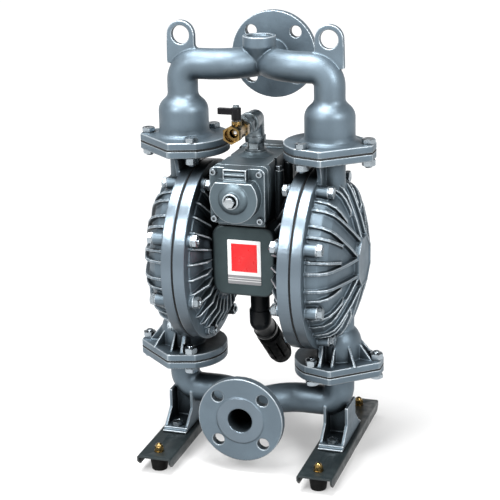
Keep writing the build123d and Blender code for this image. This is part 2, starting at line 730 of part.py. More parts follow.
# Seats and balls of the four check valves
suction_seat_base = lower_joint_height + half_gasket
discharge_seat_base = upper_joint_height - half_gasket - seat_thickness
for side_name, side in (("left", -1), ("right", 1)):
    for name, column_x, base in (("suction", suction_column_x, suction_seat_base),
                                 ("discharge", discharge_column_x, discharge_seat_base)):
        finish(valve_seat(side * column_x, base), f"{name}_seat_{side_name}")
        with BuildPart() as ball:
            with Locations((side * column_x, 0, base + seat_thickness + ball_rise)):
                Sphere(ball_radius)
        finish(ball, f"{name}_ball_{side_name}")

# Piston: rod, discs and diaphragms, mirrored about the middle
disc_inner_x = parting_x - diaphragm_thickness / 2
disc_outer_x = parting_x + diaphragm_thickness / 2
rod_end = disc_outer_x + outer_disc_thickness - 4

with BuildPart() as centre_rod:
    with Locations(Location((0, 0, pump_axis_height), (0, 90, 0))):
        Cylinder(rod_radius, 2 * rod_end)
    chamfer(centre_rod.edges().filter_by(GeomType.CIRCLE), 1)
finish(centre_rod, "centre_rod")

for side_name, side in (("left", -1), ("right", 1)):
    with BuildPart() as inner_disc:
        with BuildSketch(axial_plane(90)):
            with BuildLine():
                Polyline((rod_radius, side * disc_inner_x), (inner_disc_radius, side * disc_inner_x),
                         (inner_disc_radius, side * (disc_inner_x - 4)),
                         (inner_disc_radius - 14, side * (disc_inner_x - inner_disc_thickness)),
                         (rod_radius, side * (disc_inner_x - inner_disc_thickness)), close=True)
            make_face()
        revolve(axis=Axis((0, 0, pump_axis_height), (1, 0, 0)))
    finish(inner_disc, f"inner_disc_{side_name}")
    with BuildPart() as outer_disc:
        with BuildSketch(axial_plane(90)):
            with BuildLine():
                Line((outer_disc_radius, side * (disc_outer_x + 3)), (outer_disc_radius, side * disc_outer_x))
                Polyline((outer_disc_radius, side * disc_outer_x), (rod_radius, side * disc_outer_x),
                         (rod_radius, side * rod_end), (0, side * rod_end),
                         (0, side * (disc_outer_x + outer_disc_thickness)))
                ThreePointArc((0, side * (disc_outer_x + outer_disc_thickness)),
                              (32, side * (disc_outer_x + outer_disc_thickness - 3.4)),
                              (outer_disc_radius, side * (disc_outer_x + 3)))
            make_face()
        revolve(axis=Axis((0, 0, pump_axis_height), (1, 0, 0)))
    finish(outer_disc, f"outer_disc_{side_name}")
    with BuildPart() as diaphragm:
        with BuildSketch(axial_plane(90)):
            with BuildLine():
                Polyline((rod_radius, side * disc_inner_x), (inner_disc_radius, side * disc_inner_x),
                         (inner_disc_radius + 10, side * (disc_inner_x + 3)), (84, side * (disc_inner_x + 9)),
                         (100, side * (disc_inner_x + 3)), (cavity_radius, side * disc_inner_x),
                         (diaphragm_radius, side * disc_inner_x), (diaphragm_radius, side * disc_outer_x),
                         (cavity_radius, side * disc_outer_x), (100, side * (disc_outer_x + 3)),
                         (84, side * (disc_outer_x + 9)), (outer_disc_radius + 6, side * (disc_outer_x + 3)),
                         (outer_disc_radius, side * disc_outer_x), (rod_radius, side * disc_outer_x),
                         close=True)
            make_face()
        revolve(axis=Axis((0, 0, pump_axis_height), (1, 0, 0)))
    finish(diaphragm, f"diaphragm_{side_name}")

# Centre body, with the rod's and the pilot rod's bores, the air ports and the exhaust port
with BuildPart() as centre_body:
    with BuildSketch(Plane(origin=(0, -body_half_depth, 0), x_dir=(1, 0, 0), z_dir=(0, -1, 0))) as front:
        with Locations((0, (body_bottom + body_top) / 2)):
            Rectangle(2 * body_half_width, body_top - body_bottom)
        fillet(front.vertices().group_by(Axis.Z)[0], radius=body_corner)
    extrude(amount=-2 * body_half_depth)
    fillet(centre_body.faces().sort_by(Axis.Y)[0].edges().filter_by(GeomType.CIRCLE), radius=4)
    with Locations(*facing([(body_half_width, 0, pump_axis_height)], (1, 0, 0))):
        Hole(rod_radius + 1, depth=2 * body_half_width)
    for side in (-1, 1):
        with Locations(*facing([(side * body_half_width, 0, pump_axis_height)], (side, 0, 0))):
            Hole(rod_radius + bush_wall, depth=bush_length - inner_chamber_floor)
    with Locations(*facing([(body_half_width, 0, pump_axis_height + pilot_height)], (1, 0, 0))):
        Hole(pilot_radius + running_clearance, depth=2 * body_half_width)
    with Locations(*facing([(0, exhaust_y, body_bottom)], (0, 0, -1))):
        Hole(exhaust_pipe_radius - 3, depth=20)
    with Locations(*[(x, y, body_top) for x, y in tie_points]):
        Hole(cap_screw_diameter / 2, depth=tie_bolt_grip + 2)
finish(centre_body, "centre_body")

for side_name, side in (("left", -1), ("right", 1)):
    with BuildPart() as rod_bush:
        with BuildSketch(Plane(origin=(side * floor_x, 0, pump_axis_height),
                               z_dir=(-side, 0, 0))):
            Circle(rod_radius + bush_wall)
            Circle(rod_radius + running_clearance, mode=Mode.SUBTRACT)
        extrude(amount=bush_length)
    finish(rod_bush, f"rod_bush_{side_name}")

with BuildPart() as pilot_rod:
    with Locations(Location((0, 0, pump_axis_height + pilot_height), (0, 90, 0))):
        Cylinder(pilot_radius, 2 * (floor_x + end_gap - seat_gap))
finish(pilot_rod, "pilot_rod")

# Air valve chest: a box between two end flanges, with tie bolt bosses and a flared inlet boss
chest_bottom = body_top + sheet_gasket
cap_centre = (0, spool_axis_height)
front_view = Plane(origin=(0, 0, 0), x_dir=(1, 0, 0), z_dir=(0, -1, 0))

with BuildPart() as valve_chest:
    with BuildSketch(front_view.offset(-chest_front - chest_flange_depth)):
        with Locations((0, (chest_bottom + chest_top) / 2)):
            Rectangle(2 * chest_half_width, chest_top - chest_bottom)
    extrude(amount=chest_front + 2 * chest_flange_depth - chest_rear)
    for start in (chest_front + chest_flange_depth, chest_rear):
        with BuildSketch(front_view.offset(-start)):
            with Locations(cap_centre):
                RectangleRounded(2 * chest_flange_half_width, 2 * chest_flange_half_width, 9)
            with Locations((0, chest_bottom + 15)):
                Rectangle(2 * chest_half_width, 30)
        extrude(amount=chest_flange_depth)
    with BuildSketch(Plane.XY.offset(chest_bottom)):
        with Locations(*tie_points):
            Circle(tie_boss_radius)
    extrude(amount=tie_boss_top - chest_bottom)
    with BuildSketch(Plane(origin=(0, inlet_y, 0), x_dir=(1, 0, 0), z_dir=(0, -1, 0))):
        with BuildLine():
            Polyline((inlet_boss_radius, inlet_boss_top), (0, inlet_boss_top), (0, chest_top - 10),
                     (chest_half_width - 1, chest_top - 10), (chest_half_width - 1, chest_top - 4))
            Spline((chest_half_width - 1, chest_top - 4), (inlet_boss_radius + 8, chest_top + 1.2),
                   (inlet_boss_radius, inlet_boss_top), tangents=((-1, 0.15), (-0.45, 1)))
        make_face()
    revolve(axis=Axis((0, inlet_y, 0), (0, 0, 1)))
    with Locations(*facing([(0, chest_front, spool_axis_height)], (0, -1, 0))):
        Hole(sleeve_radius, depth=chest_rear - chest_front)
    with Locations((0, inlet_y, inlet_boss_top)):
        Hole(thread_radius, depth=15)
        Hole(inlet_bore, depth=inlet_boss_top - spool_axis_height)
    with Locations(*[(x, y, tie_boss_top) for x, y in tie_points]):
        Cylinder(tie_boss_radius - 1, chest_top - tie_boss_top, align=(Align.CENTER, Align.CENTER, Align.MIN),
                 mode=Mode.SUBTRACT)
        Hole(cap_screw_diameter / 2 + hole_clearance, depth=tie_boss_top - chest_bottom)
finish(valve_chest, "valve_chest")

with BuildPart() as chest_gasket:
    with BuildSketch(Plane.XY.offset(body_top)):
        with Locations((0, (chest_front + chest_rear) / 2)):
            Rectangle(2 * chest_half_width, chest_rear - chest_front - 8)
        with Locations(*tie_points):
            Circle(tie_boss_radius)
            Circle(cap_screw_diameter / 2 + hole_clearance, mode=Mode.SUBTRACT)
    extrude(amount=sheet_gasket)
finish(chest_gasket, "chest_gasket")

tie_bolt = hex_bolt(cap_screw_diameter, tie_boss_top - body_top + tie_bolt_grip, 10, 6)
with BuildPart() as tie_bolts:
    with Locations(*[(x, y, tie_boss_top) for x, y in tie_points]):
        add(tie_bolt)
finish(tie_bolts, "tie_bolts")

# Sleeve with its ring of ports, and the spool that slides in it
with BuildPart() as valve_sleeve:
    with BuildSketch(front_view.offset(-chest_front)):
        with Locations(cap_centre):
            Circle(sleeve_radius)
            Circle(spool_radius, mode=Mode.SUBTRACT)
    extrude(amount=chest_front - chest_rear)
    with Locations((0, inlet_y, spool_axis_height)):
        Cylinder(inlet_bore - 2, 2 * sleeve_radius, align=(Align.CENTER, Align.CENTER, Align.MIN),
                 mode=Mode.SUBTRACT)
finish(valve_sleeve, "valve_sleeve")

spool_front = (chest_front + chest_rear - spool_length) / 2
land = spool_length / 7
with BuildPart() as valve_spool:
    with BuildSketch(front_view.offset(-spool_front)):
        with Locations(cap_centre):
            Circle(spool_radius - running_clearance)
    extrude(amount=-spool_length)
    for waist in (1, 3, 5):
        with BuildSketch(front_view.offset(-spool_front - waist * land)):
            with Locations(cap_centre):
                Circle(spool_radius + 1)
                Circle(0.62 * spool_radius, mode=Mode.SUBTRACT)
        extrude(amount=-land, mode=Mode.SUBTRACT)
finish(valve_spool, "valve_spool")

# Caps on both ends of the chest
screw_points = [(x, spool_axis_height + z) for x in (-cap_screw_spacing / 2, cap_screw_spacing / 2)
                for z in (-cap_screw_spacing / 2, cap_screw_spacing / 2)]
cap_top_flat = 25.0
notch_half_width = 18.3
notch_depth = 12.0
groove_radius = 2.6


def cap_on(face_y, outwards):
    """An end cap: a square plate with a round plate and a ribbed pad on it."""
    seat = Plane(origin=(0, face_y, 0), x_dir=(1, 0, 0), z_dir=(0, -1, 0))
    with BuildPart() as cap:
        with BuildSketch(seat):
            with Locations(cap_centre):
                RectangleRounded(2 * chest_flange_half_width, 2 * chest_flange_half_width, 9)
            with Locations(*screw_points):
                Circle(cap_screw_diameter / 2 + hole_clearance, mode=Mode.SUBTRACT)
        extrude(amount=outwards * cap_plate_thickness)
        with BuildSketch(seat):
            with Locations(cap_centre):
                Circle(cap_round_radius)
            with Locations((0, spool_axis_height + cap_top_flat + cap_round_radius)):
                Rectangle(4 * cap_round_radius, 2 * cap_round_radius, mode=Mode.SUBTRACT)
        extrude(amount=outwards * (cap_plate_thickness + cap_round_thickness))
        with BuildSketch(seat):
            with Locations((0, spool_axis_height + chest_flange_half_width - 10)):
                Rectangle(2 * notch_half_width, 20)
        extrude(amount=outwards * (cap_plate_thickness + notch_depth))
        groove_y = face_y - outwards * (cap_plate_thickness + notch_depth)
        for height in (spool_axis_height + 31, spool_axis_height + 39):
            with Locations(Location((0, groove_y, height), (0, 90, 0))):
                Cylinder(groove_radius, 2 * notch_half_width - 4, mode=Mode.SUBTRACT)
    return cap


front_plate_y = chest_front - cap_plate_thickness - cap_round_thickness
with BuildPart() as front_cap:
    add(cap_on(chest_front, 1).part)
    with BuildSketch(Plane(origin=(0, 0, spool_axis_height), x_dir=(0, -1, 0), z_dir=(1, 0, 0))):
        with BuildLine():
            Line((-front_plate_y - 1, 0), (-front_plate_y - 1, dome_radius))
            Line((-front_plate_y - 1, dome_radius), (-front_plate_y + 1.5, dome_radius))
            ThreePointArc((-front_plate_y + 1.5, dome_radius), (-front_plate_y + 6, 18.5),
                          (-front_plate_y + dome_height, 12.5))
            Polyline((-front_plate_y + dome_height, 12.5), (-front_plate_y + dome_height + 7, 12.5),
                     (-front_plate_y + dome_height + 7, button_head_radius + 0.8),
                     (-front_plate_y + dome_height, button_head_radius + 0.8),
                     (-front_plate_y + dome_height, 0), (-front_plate_y - 1, 0))
        make_face()
    revolve(axis=Axis((0, 0, spool_axis_height), (0, 1, 0)))
    with Locations(*facing([(0, front_plate_y - dome_height, spool_axis_height)], (0, -1, 0))):
        Hole(button_radius + running_clearance, depth=dome_height - front_plate_y + chest_front)
finish(front_cap, "front_cap")

rear_cap = cap_on(chest_rear, -1)
finish(rear_cap, "rear_cap")

with BuildPart() as socket_screw:
    with BuildSketch():
        Circle(cap_screw_head / 2)
    extrude(amount=cap_screw_diameter)
    with BuildSketch(Plane.XY.offset(cap_screw_diameter)):
        RegularPolygon(2.6, 6, major_radius=False)
    extrude(amount=-3, mode=Mode.SUBTRACT)
    with BuildSketch():
        Circle(cap_screw_diameter / 2)
    extrude(amount=-cap_plate_thickness)

with BuildPart() as cap_screws:
    with Locations(*facing([(x, chest_front - cap_plate_thickness, z) for x, z in screw_points], (0, -1, 0))):
        add(socket_screw.part)
    with Locations(*facing([(x, chest_rear + cap_plate_thickness, z) for x, z in screw_points], (0, 1, 0))):
        add(socket_screw.part)
finish(cap_screws, "cap_screws")

# Reset button: a hexagonal head on a pin that runs through the front cap
with BuildPart() as reset_button:
    with BuildSketch(front_view.offset(-button_tip_y)):
        with Locations(cap_centre):
            RegularPolygon(button_head_radius, 6)
    extrude(amount=-(abs(button_tip_y) + front_plate_y - dome_height - button_travel - 1))
    with BuildSketch(front_view.offset(-button_tip_y - 4)):
        with Locations(cap_centre):
            Circle(button_radius)
    extrude(amount=button_tip_y + 4 - chest_front - 4)
finish(reset_button, "reset_button")

# Label plate on the front of the centre body
with BuildPart() as label_plate:
    with BuildSketch(front_view.offset(body_half_depth)):
        with Locations((label_x, label_height_centre)):
            RectangleRounded(label_width, label_height, 1.5)
    extrude(amount=label_thickness)
finish(label_plate, "label_plate")

# Air inlet: hexagonal nipple, elbow, second nipple and a small ball valve
elbow_band = 10.0
elbow_start = inlet_axis_height - elbow_centre_to_face
thread_length = 9.0
nipple_hex = 24.0

with BuildPart() as inlet_nipple:
    with BuildSketch(Plane(origin=(0, inlet_y, inlet_boss_top))):
        Circle(inlet_boss_radius - 1)
    extrude(amount=3.5)
    with BuildSketch(Plane(origin=(0, inlet_y, inlet_boss_top + 3.5))):
        RegularPolygon(nipple_hex / 2, 6, major_radius=False)
    extrude(amount=elbow_start - inlet_boss_top - 3.5)
    with BuildSketch(Plane(origin=(0, inlet_y, inlet_boss_top - thread_length))):
        Circle(thread_radius)
    extrude(amount=elbow_start - inlet_boss_top + 2 * thread_length)
    with Locations((0, inlet_y, elbow_start + thread_length)):
        Hole(inlet_bore)
finish(inlet_nipple, "inlet_nipple")

elbow_face_y = inlet_y - elbow_centre_to_face
with BuildPart() as inlet_elbow:
    with Locations((0, inlet_y, inlet_axis_height)):
        Sphere(elbow_body_radius)
    for plane in (Plane(origin=(0, inlet_y, elbow_start)),
                  Plane(origin=(0, elbow_face_y, inlet_axis_height), z_dir=(0, 1, 0))):
        with BuildSketch(plane):
            Circle(elbow_body_radius)
        extrude(amount=elbow_centre_to_face)
        with BuildSketch(plane):
            Circle(elbow_band_radius)
        extrude(amount=elbow_band)
    for plane in (Plane(origin=(0, inlet_y, elbow_start), z_dir=(0, 0, -1)),
                  Plane(origin=(0, elbow_face_y, inlet_axis_height), z_dir=(0, -1, 0))):
        with Locations(plane.location):
            Hole(thread_radius, depth=thread_length)
            Hole(inlet_bore, depth=elbow_centre_to_face)
    with Locations((0, inlet_y, inlet_axis_height)):
        Sphere(inlet_bore, mode=Mode.SUBTRACT)
finish(inlet_elbow, "inlet_elbow")

valve_length = 2 * (valve_stem_y - valve_mouth_y)
valve_rear_y = valve_mouth_y + valve_length
with BuildPart() as valve_nipple:
    with BuildSketch(Plane(origin=(0, valve_rear_y, inlet_axis_height), z_dir=(0, 1, 0))):
        Circle(elbow_body_radius - 1.5)
    extrude(amount=elbow_face_y - valve_rear_y)
    middle_y = (valve_rear_y + elbow_face_y) / 2
    with BuildSketch(Plane(origin=(0, middle_y, inlet_axis_height), z_dir=(0, 1, 0))):
        RegularPolygon(nipple_hex / 2 + 1.5, 6, major_radius=False)
    extrude(amount=6, both=True)
    with BuildSketch(Plane(origin=(0, valve_rear_y - thread_length, inlet_axis_height), z_dir=(0, 1, 0))):
        Circle(thread_radius)
    extrude(amount=elbow_face_y - valve_rear_y + 2 * thread_length)
    with Locations(*facing([(0, valve_rear_y - thread_length, inlet_axis_height)], (0, -1, 0))):
        Hole(inlet_bore)
finish(valve_nipple, "valve_nipple")

stem_radius = 4.0
with BuildPart() as valve_body:
    with BuildSketch(Plane(origin=(0, valve_mouth_y, inlet_axis_height), z_dir=(0, 1, 0))):
        Circle(valve_hex_across / 2)
    extrude(amount=valve_length)
    for start in (valve_mouth_y, valve_rear_y - valve_hex_length):
        with BuildSketch(Plane(origin=(0, start, inlet_axis_height), z_dir=(0, 1, 0))):
            RegularPolygon(valve_hex_across / 2, 6, major_radius=False)
        extrude(amount=valve_hex_length)
    with BuildSketch(Plane(origin=(0, valve_stem_y, inlet_axis_height))):
        Circle(7.5)
    extrude(amount=lever_bottom - 2 - inlet_axis_height)
    with Locations(*facing([(0, valve_mouth_y, inlet_axis_height)], (0, -1, 0))):
        Hole(thread_radius, depth=12)
        Hole(inlet_bore - 1, depth=valve_length)
    with Locations(*facing([(0, valve_rear_y, inlet_axis_height)], (0, 1, 0))):
        Hole(thread_radius, depth=thread_length)
    with Locations((0, valve_stem_y, inlet_axis_height)):
        Sphere(valve_ball_radius + running_clearance, mode=Mode.SUBTRACT)
    with Locations((0, valve_stem_y, lever_bottom - 2)):
        Hole(stem_radius + running_clearance, depth=lever_bottom - 2 - inlet_axis_height)
finish(valve_body, "valve_body")

with BuildPart() as valve_ball:
    with Locations((0, valve_stem_y, inlet_axis_height)):
        Sphere(valve_ball_radius)
    with BuildSketch(Plane(origin=(0, valve_stem_y, inlet_axis_height))):
        Circle(stem_radius)
    extrude(amount=lever_bottom + 2 - inlet_axis_height)
    with BuildSketch(Plane(origin=(0, valve_stem_y, lever_bottom + 2))):
        Circle(stem_radius - 1)
    extrude(amount=lever_top - lever_bottom)
    with Locations(*facing([(2 * valve_ball_radius, valve_stem_y, inlet_axis_height)], (1, 0, 0))):
        Hole(inlet_bore - 1, depth=4 * valve_ball_radius)
finish(valve_ball, "valve_ball")

with BuildPart() as valve_lever:
    with BuildSketch(Plane(origin=(0, valve_stem_y, lever_bottom))):
        Circle(7.5)
    extrude(amount=lever_top - lever_bottom)
    with BuildSketch(Plane(origin=(0, valve_stem_y, lever_top - 10))):
        with Locations((-lever_length / 2, 0)):
            Rectangle(lever_length, 9)
    extrude(amount=9)
    fillet(valve_lever.edges().filter_by(Axis.Z).group_by(Axis.X)[0], radius=3)
    with Locations((0, valve_stem_y, lever_top)):
        Hole(stem_radius - 1)
    with BuildSketch(Plane(origin=(0, valve_stem_y, lever_bottom))):
        Circle(stem_radius)
    extrude(amount=2, mode=Mode.SUBTRACT)
finish(valve_lever, "valve_lever")

with BuildPart() as lever_nut:
    with BuildSketch(Plane(origin=(0, valve_stem_y, lever_top))):
        RegularPolygon(4.5, 6, major_radius=False)
        Circle(stem_radius - 1, mode=Mode.SUBTRACT)
    extrude(amount=4)
finish(lever_nut, "lever_nut")

# Exhaust: elbow out of the underside of the body, and the silencer on it
slope = radians(exhaust_slope)
corner = (0, exhaust_y, exhaust_corner_height)
leg_end = (0, exhaust_y + exhaust_leg * cos(slope), exhaust_corner_height - exhaust_leg * sin(slope))
away = (0, cos(slope), -sin(slope))
exhaust_bore = exhaust_pipe_radius - 6

with BuildPart() as exhaust_elbow:
    with Locations(corner):
        Sphere(exhaust_elbow_radius)
    with BuildSketch(Plane(origin=corner)):
        Circle(exhaust_elbow_radius)
    extrude(amount=20)
    with BuildSketch(Plane(origin=corner)):
        Circle(exhaust_pipe_radius)
    extrude(amount=body_bottom - exhaust_corner_height)
    with BuildSketch(Plane(origin=corner)):
        Circle(exhaust_pipe_radius - 3)
    extrude(amount=body_bottom + 12 - exhaust_corner_height)
    with BuildSketch(Plane(origin=leg_end, z_dir=away)):
        Circle(exhaust_elbow_radius - 0.5)
    extrude(amount=-exhaust_leg)
    with BuildSketch(Plane(origin=leg_end, z_dir=away)):
        Circle(exhaust_elbow_radius + 1.5)
    extrude(amount=-9)
    with Locations(corner):
        Sphere(exhaust_bore, mode=Mode.SUBTRACT)
    with Locations(Plane(origin=leg_end, z_dir=away).location):
        Hole(exhaust_bore, depth=exhaust_leg)
    with Locations((0, exhaust_y, body_bottom + 12)):
        Hole(exhaust_bore, depth=body_bottom + 12 - exhaust_corner_height)
finish(exhaust_elbow, "exhaust_elbow")

muffler_collar = 12.0
muffler_wall = 4.0
slot_count = 8
slot_width = 3.0
with BuildPart() as muffler:
    with BuildSketch(Plane(origin=leg_end, z_dir=away)):
        Circle(exhaust_elbow_radius)
    extrude(amount=muffler_length)
    with BuildSketch(Plane(origin=leg_end, z_dir=away).offset(muffler_collar)):
        Circle(muffler_radius)
    extrude(amount=muffler_length - 2 * muffler_collar)
    with BuildSketch(Plane(origin=leg_end, z_dir=away)):
        Circle(exhaust_elbow_radius - muffler_wall)
    extrude(amount=muffler_length - 8, mode=Mode.SUBTRACT)
    for turn in range(slot_count):
        slot = Plane(origin=leg_end, z_dir=away).offset(muffler_length / 2)
        with Locations(slot.location * Location((0, 0, 0), (0, 0, turn * 360 / slot_count))):
            with Locations((muffler_radius, 0, 0)):
                Box(4 * muffler_wall, slot_width, muffler_length - 50, mode=Mode.SUBTRACT)
finish(muffler, "muffler")

# Base rails: inverted channels on rubber feet
for side_name, side in (("left", -1), ("right", 1)):
    with BuildPart() as base_rail:
        with BuildSketch(Plane(origin=(side * suction_column_x, rail_length / 2, 0), x_dir=(1, 0, 0),
                               z_dir=(0, -1, 0))):
            with Locations((0, rail_top - rail_height / 2)):
                Rectangle(rail_width, rail_height)
            with Locations((0, rail_top - rail_height / 2 - rail_wall)):
                Rectangle(rail_width - 2 * rail_wall, rail_height, mode=Mode.SUBTRACT)
        extrude(amount=rail_length)
        fillet(base_rail.edges().filter_by(Axis.Y).group_by(Axis.Z)[-1], radius=3)
        chamfer(base_rail.edges().filter_by(Axis.X).group_by(Axis.Z)[0], length=8)
        with Locations(*[(side * suction_column_x, y, rail_top) for y in (-foot_y, foot_y)]):
            Hole(foot_stud_diameter / 2 + hole_clearance, depth=rail_wall)
        with Locations(*[(side * suction_column_x, y, rail_top) for y in (-pad_bolt_y, pad_bolt_y)]):
            Hole(pad_bolt_diameter / 2 + hole_clearance, depth=rail_wall)
    finish(base_rail, f"base_rail_{side_name}")

foot_points = [(side * suction_column_x, y) for side in (-1, 1) for y in (-foot_y, foot_y)]
foot_top = rail_top - rail_wall
with BuildPart() as rubber_foot:
    with BuildSketch():
        Circle(foot_bottom_radius)
    extrude(amount=foot_top, taper=-degrees(atan2(foot_radius - foot_bottom_radius, foot_top)))
    with Locations((0, 0, foot_top)):
        Hole(foot_stud_diameter / 2, depth=8)

with BuildPart() as rubber_feet:
    with Locations(*foot_points):
        add(rubber_foot.part)
finish(rubber_feet, "rubber_feet")

with BuildPart() as dome_nut:
    with BuildSketch(Plane.XY.offset(rail_top)):
        Circle(foot_stud_diameter)
    extrude(amount=1.6)
    with BuildSketch(Plane.XY.offset(rail_top + 1.6)):
        RegularPolygon(6.5, 6, major_radius=False)
    extrude(amount=7)
    with Locations((0, 0, rail_top + 8.6)):
        Sphere(5.6, arc_size1=0)
    with BuildSketch(Plane.XY.offset(foot_top - 8)):
        Circle(foot_stud_diameter / 2)
    extrude(amount=rail_wall + 8 + 4)

with BuildPart() as foot_nuts:
    with Locations(*foot_points):
        add(dome_nut.part)
finish(foot_nuts, "foot_nuts")

pad_bolt = hex_bolt(pad_bolt_diameter, pad_thickness + rail_wall + 10, 17, 6.4)
pad_nut = hex_nut(pad_bolt_diameter, 17, 8)
pad_points = [(side * suction_column_x, y) for side in (-1, 1) for y in (-pad_bolt_y, pad_bolt_y)]
with BuildPart() as pad_bolts:
    with Locations(*[(x, y, pad_top) for x, y in pad_points]):
        add(pad_bolt)
finish(pad_bolts, "pad_bolts")
with BuildPart() as pad_nuts:
    with Locations(*[(x, y, foot_top - 8) for x, y in pad_points]):
        add(pad_nut)
finish(pad_nuts, "pad_nuts")
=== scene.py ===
"""Castings, fasteners, air line and finishes of an air operated diaphragm pump.

The file is laid out as an add-on and is run as a script. Lengths are metres.
X runs along the pump's axis, -Y is the front and Z is up.
"""

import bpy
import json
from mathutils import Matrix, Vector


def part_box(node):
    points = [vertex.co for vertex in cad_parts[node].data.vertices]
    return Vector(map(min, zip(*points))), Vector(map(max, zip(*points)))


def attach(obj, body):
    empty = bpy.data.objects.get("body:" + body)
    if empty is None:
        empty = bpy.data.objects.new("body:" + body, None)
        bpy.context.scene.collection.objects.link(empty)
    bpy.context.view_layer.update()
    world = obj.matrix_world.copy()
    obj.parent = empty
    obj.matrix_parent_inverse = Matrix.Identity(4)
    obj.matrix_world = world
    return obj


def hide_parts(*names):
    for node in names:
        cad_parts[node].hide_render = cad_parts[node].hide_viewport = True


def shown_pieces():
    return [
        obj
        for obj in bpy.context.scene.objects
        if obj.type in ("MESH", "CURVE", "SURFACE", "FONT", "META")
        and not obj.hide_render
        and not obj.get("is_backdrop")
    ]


bl_info = {
    "name": "Diaphragm Pump Looks",
    "version": (1, 0, 0),
    "blender": (4, 5, 0),
    "location": "3D View > Sidebar > Pump",
    "description": "Castings, fasteners, air line and finishes of an air operated diaphragm pump",
    "category": "Object",
}

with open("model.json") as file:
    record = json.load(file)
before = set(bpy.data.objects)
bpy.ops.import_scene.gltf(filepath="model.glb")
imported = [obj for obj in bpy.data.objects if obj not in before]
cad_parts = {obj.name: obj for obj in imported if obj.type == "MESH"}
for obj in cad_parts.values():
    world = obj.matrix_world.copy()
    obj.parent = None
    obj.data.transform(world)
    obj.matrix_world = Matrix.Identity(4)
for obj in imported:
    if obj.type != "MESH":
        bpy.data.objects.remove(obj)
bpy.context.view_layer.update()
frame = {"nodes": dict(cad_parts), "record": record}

import json
from math import cos, pi, radians, sin, tan, tau

import bmesh
import bpy
from bpy.props import FloatProperty, FloatVectorProperty, IntProperty, PointerProperty
from mathutils import Matrix, Vector

RECORD = frame["record"]
SLOT_OF = {row["node"]: row["material_slot"] for row in RECORD["subparts"]}
BODY_OF = {node: body for body, nodes in RECORD["behaviour"]["bodies"].items() for node in nodes}

MM = 0.001
PUMP_AXIS_HEIGHT = 0.336
PARTING_X = 0.0935
SUCTION_COLUMN_X = 0.1328
DISCHARGE_COLUMN_X = 0.1192
SUCTION_AXIS_HEIGHT = 0.0913
DISCHARGE_AXIS_HEIGHT = 0.6374
PORT_FACE_Y = 0.115
CLAMP_CIRCLE = 0.130
JOINT_CIRCLE = 0.061
RING_RADIUS = 0.1455
CAP_SCREW_SPACING = 0.0732
FOOT_SPACING = 0.262
PAD_BOLT_SPACING = 0.088
FLOOR_SHARE = 0.45
HEXAGON_FACE = 0.96
HEXAGON_SLOPE = tan(radians(28))

# Where a bare turned face begins and where it is whole, in metres
RIM_INNER = (0.1437, 0.1449)
RIM_OUTER = (0.1474, 0.1466)
RIM_SIDE = (0.1128, 0.1116)
RAISED_EDGE = (0.0387, 0.0381)
RAISED_DEPTH = (0.0016, 0.0009)
SKIMMED_EDGE = (0.0705, 0.0702)
SKIMMED_DEPTH = (0.0031, 0.0023)
SKIMMED_SHARE = 0.16
GROOVES_TO_THE_METRE = 7000.0

FACING = {"+X": (0, pi / 2, 0), "-X": (0, -pi / 2, 0), "+Y": (-pi / 2, 0, 0), "-Y": (pi / 2, 0, 0),
          "+Z": (0, 0, 0), "-Z": (pi, 0, 0)}


# Sizes and colours that a user would change

def colour(name, description, default):
    """A colour property."""
    return FloatVectorProperty(name=name, description=description, subtype="COLOR", size=3,
                               min=0, max=1, default=default)


def length(name, description, default):
    """A length property in metres."""
    return FloatProperty(name=name, description=description, unit="LENGTH", min=0, precision=5,
                         default=default)


def share(name, description, default):
    """A property between nought and one."""
    return FloatProperty(name=name, description=description, subtype="FACTOR", min=0, max=1,
                         default=default)


class PumpCastingSettings(bpy.types.PropertyGroup):
    paint: colour("Silver Paint", "Paint of the chambers and manifolds", (0.102, 0.136, 0.164))
    cap_paint: colour("Cap Paint", "Paint of the valve chest and its caps", (0.076, 0.102, 0.118))
    dark_paint: colour("Grey Paint", "Paint of the centre body", (0.038, 0.055, 0.059))
    machined: colour("Machined Face", "Bare metal of the turned rims and faces", (0.132, 0.168, 0.200))
    # Edge colour: lightens the castings' sharp edges, partly as wear and partly as painted highlight.
    edge_wear_and_highlight: colour("Worn Edge", "Metal that shows along the edges", (0.66, 0.72, 0.76))
    # Dark colour of painted shade, laid in the castings' corners and on their undersides.
    painted_shade: colour("Grime", "Dirt in the corners of the castings", (0.006, 0.009, 0.011))
    skin: length("Casting Skin", "Spacing of the mesh that rounds a large casting", 0.0011)
    fine_skin: length("Fine Casting Skin", "Spacing of the mesh that rounds a small casting", 0.0009)
    softness: IntProperty(name="Softness", description="Rounds of smoothing on a casting", min=0, default=4)
    most_triangles: IntProperty(name="Most Triangles", description="Triangles that a casting keeps",
                                min=1000, default=175000)
    grain: length("Grain", "Depth of the sand grain", 0.00014)


class PumpFastenerSettings(bpy.types.PropertyGroup):
    zinc: colour("Zinc", "Plating of the bolts and nuts", (0.30, 0.34, 0.37))
    gold: colour("Yellow Zinc", "Plating of the dome nuts", (0.27, 0.185, 0.07))
    thread_pitch: length("Thread Pitch", "Pitch of the thread on the bolt ends", 0.00175)
    thread_depth: length("Thread Depth", "Depth of that thread", 0.0009)
    washer_face: length("Washer Face", "Thickness of the round face under a hexagon", 0.0008)
    segments: IntProperty(name="Segments", description="Steps round a fastener", min=12, default=36)


class PumpAirSettings(bpy.types.PropertyGroup):
    brass: colour("Brass", "Body of the air valve", (0.23, 0.15, 0.055))
    galvanised: colour("Galvanised", "Elbow and nipples of the air line", (0.15, 0.175, 0.19))
    lever: colour("Lever", "Plastic of the lever", (0.003, 0.003, 0.004))
    exhaust: colour("Exhaust", "Plastic of the exhaust elbow and silencer", (0.0025, 0.003, 0.0035))
    edge: length("Edge", "Rounding of the fittings' edges", 0.0006)


class PumpBaseSettings(bpy.types.PropertyGroup):
    rail: colour("Rail Paint", "Paint of the base rails", (0.013, 0.019, 0.021))
    rubber: colour("Rubber", "Rubber of the feet", (0.005, 0.005, 0.005))
    edge: length("Edge", "Rounding of the rails' edges", 0.0009)


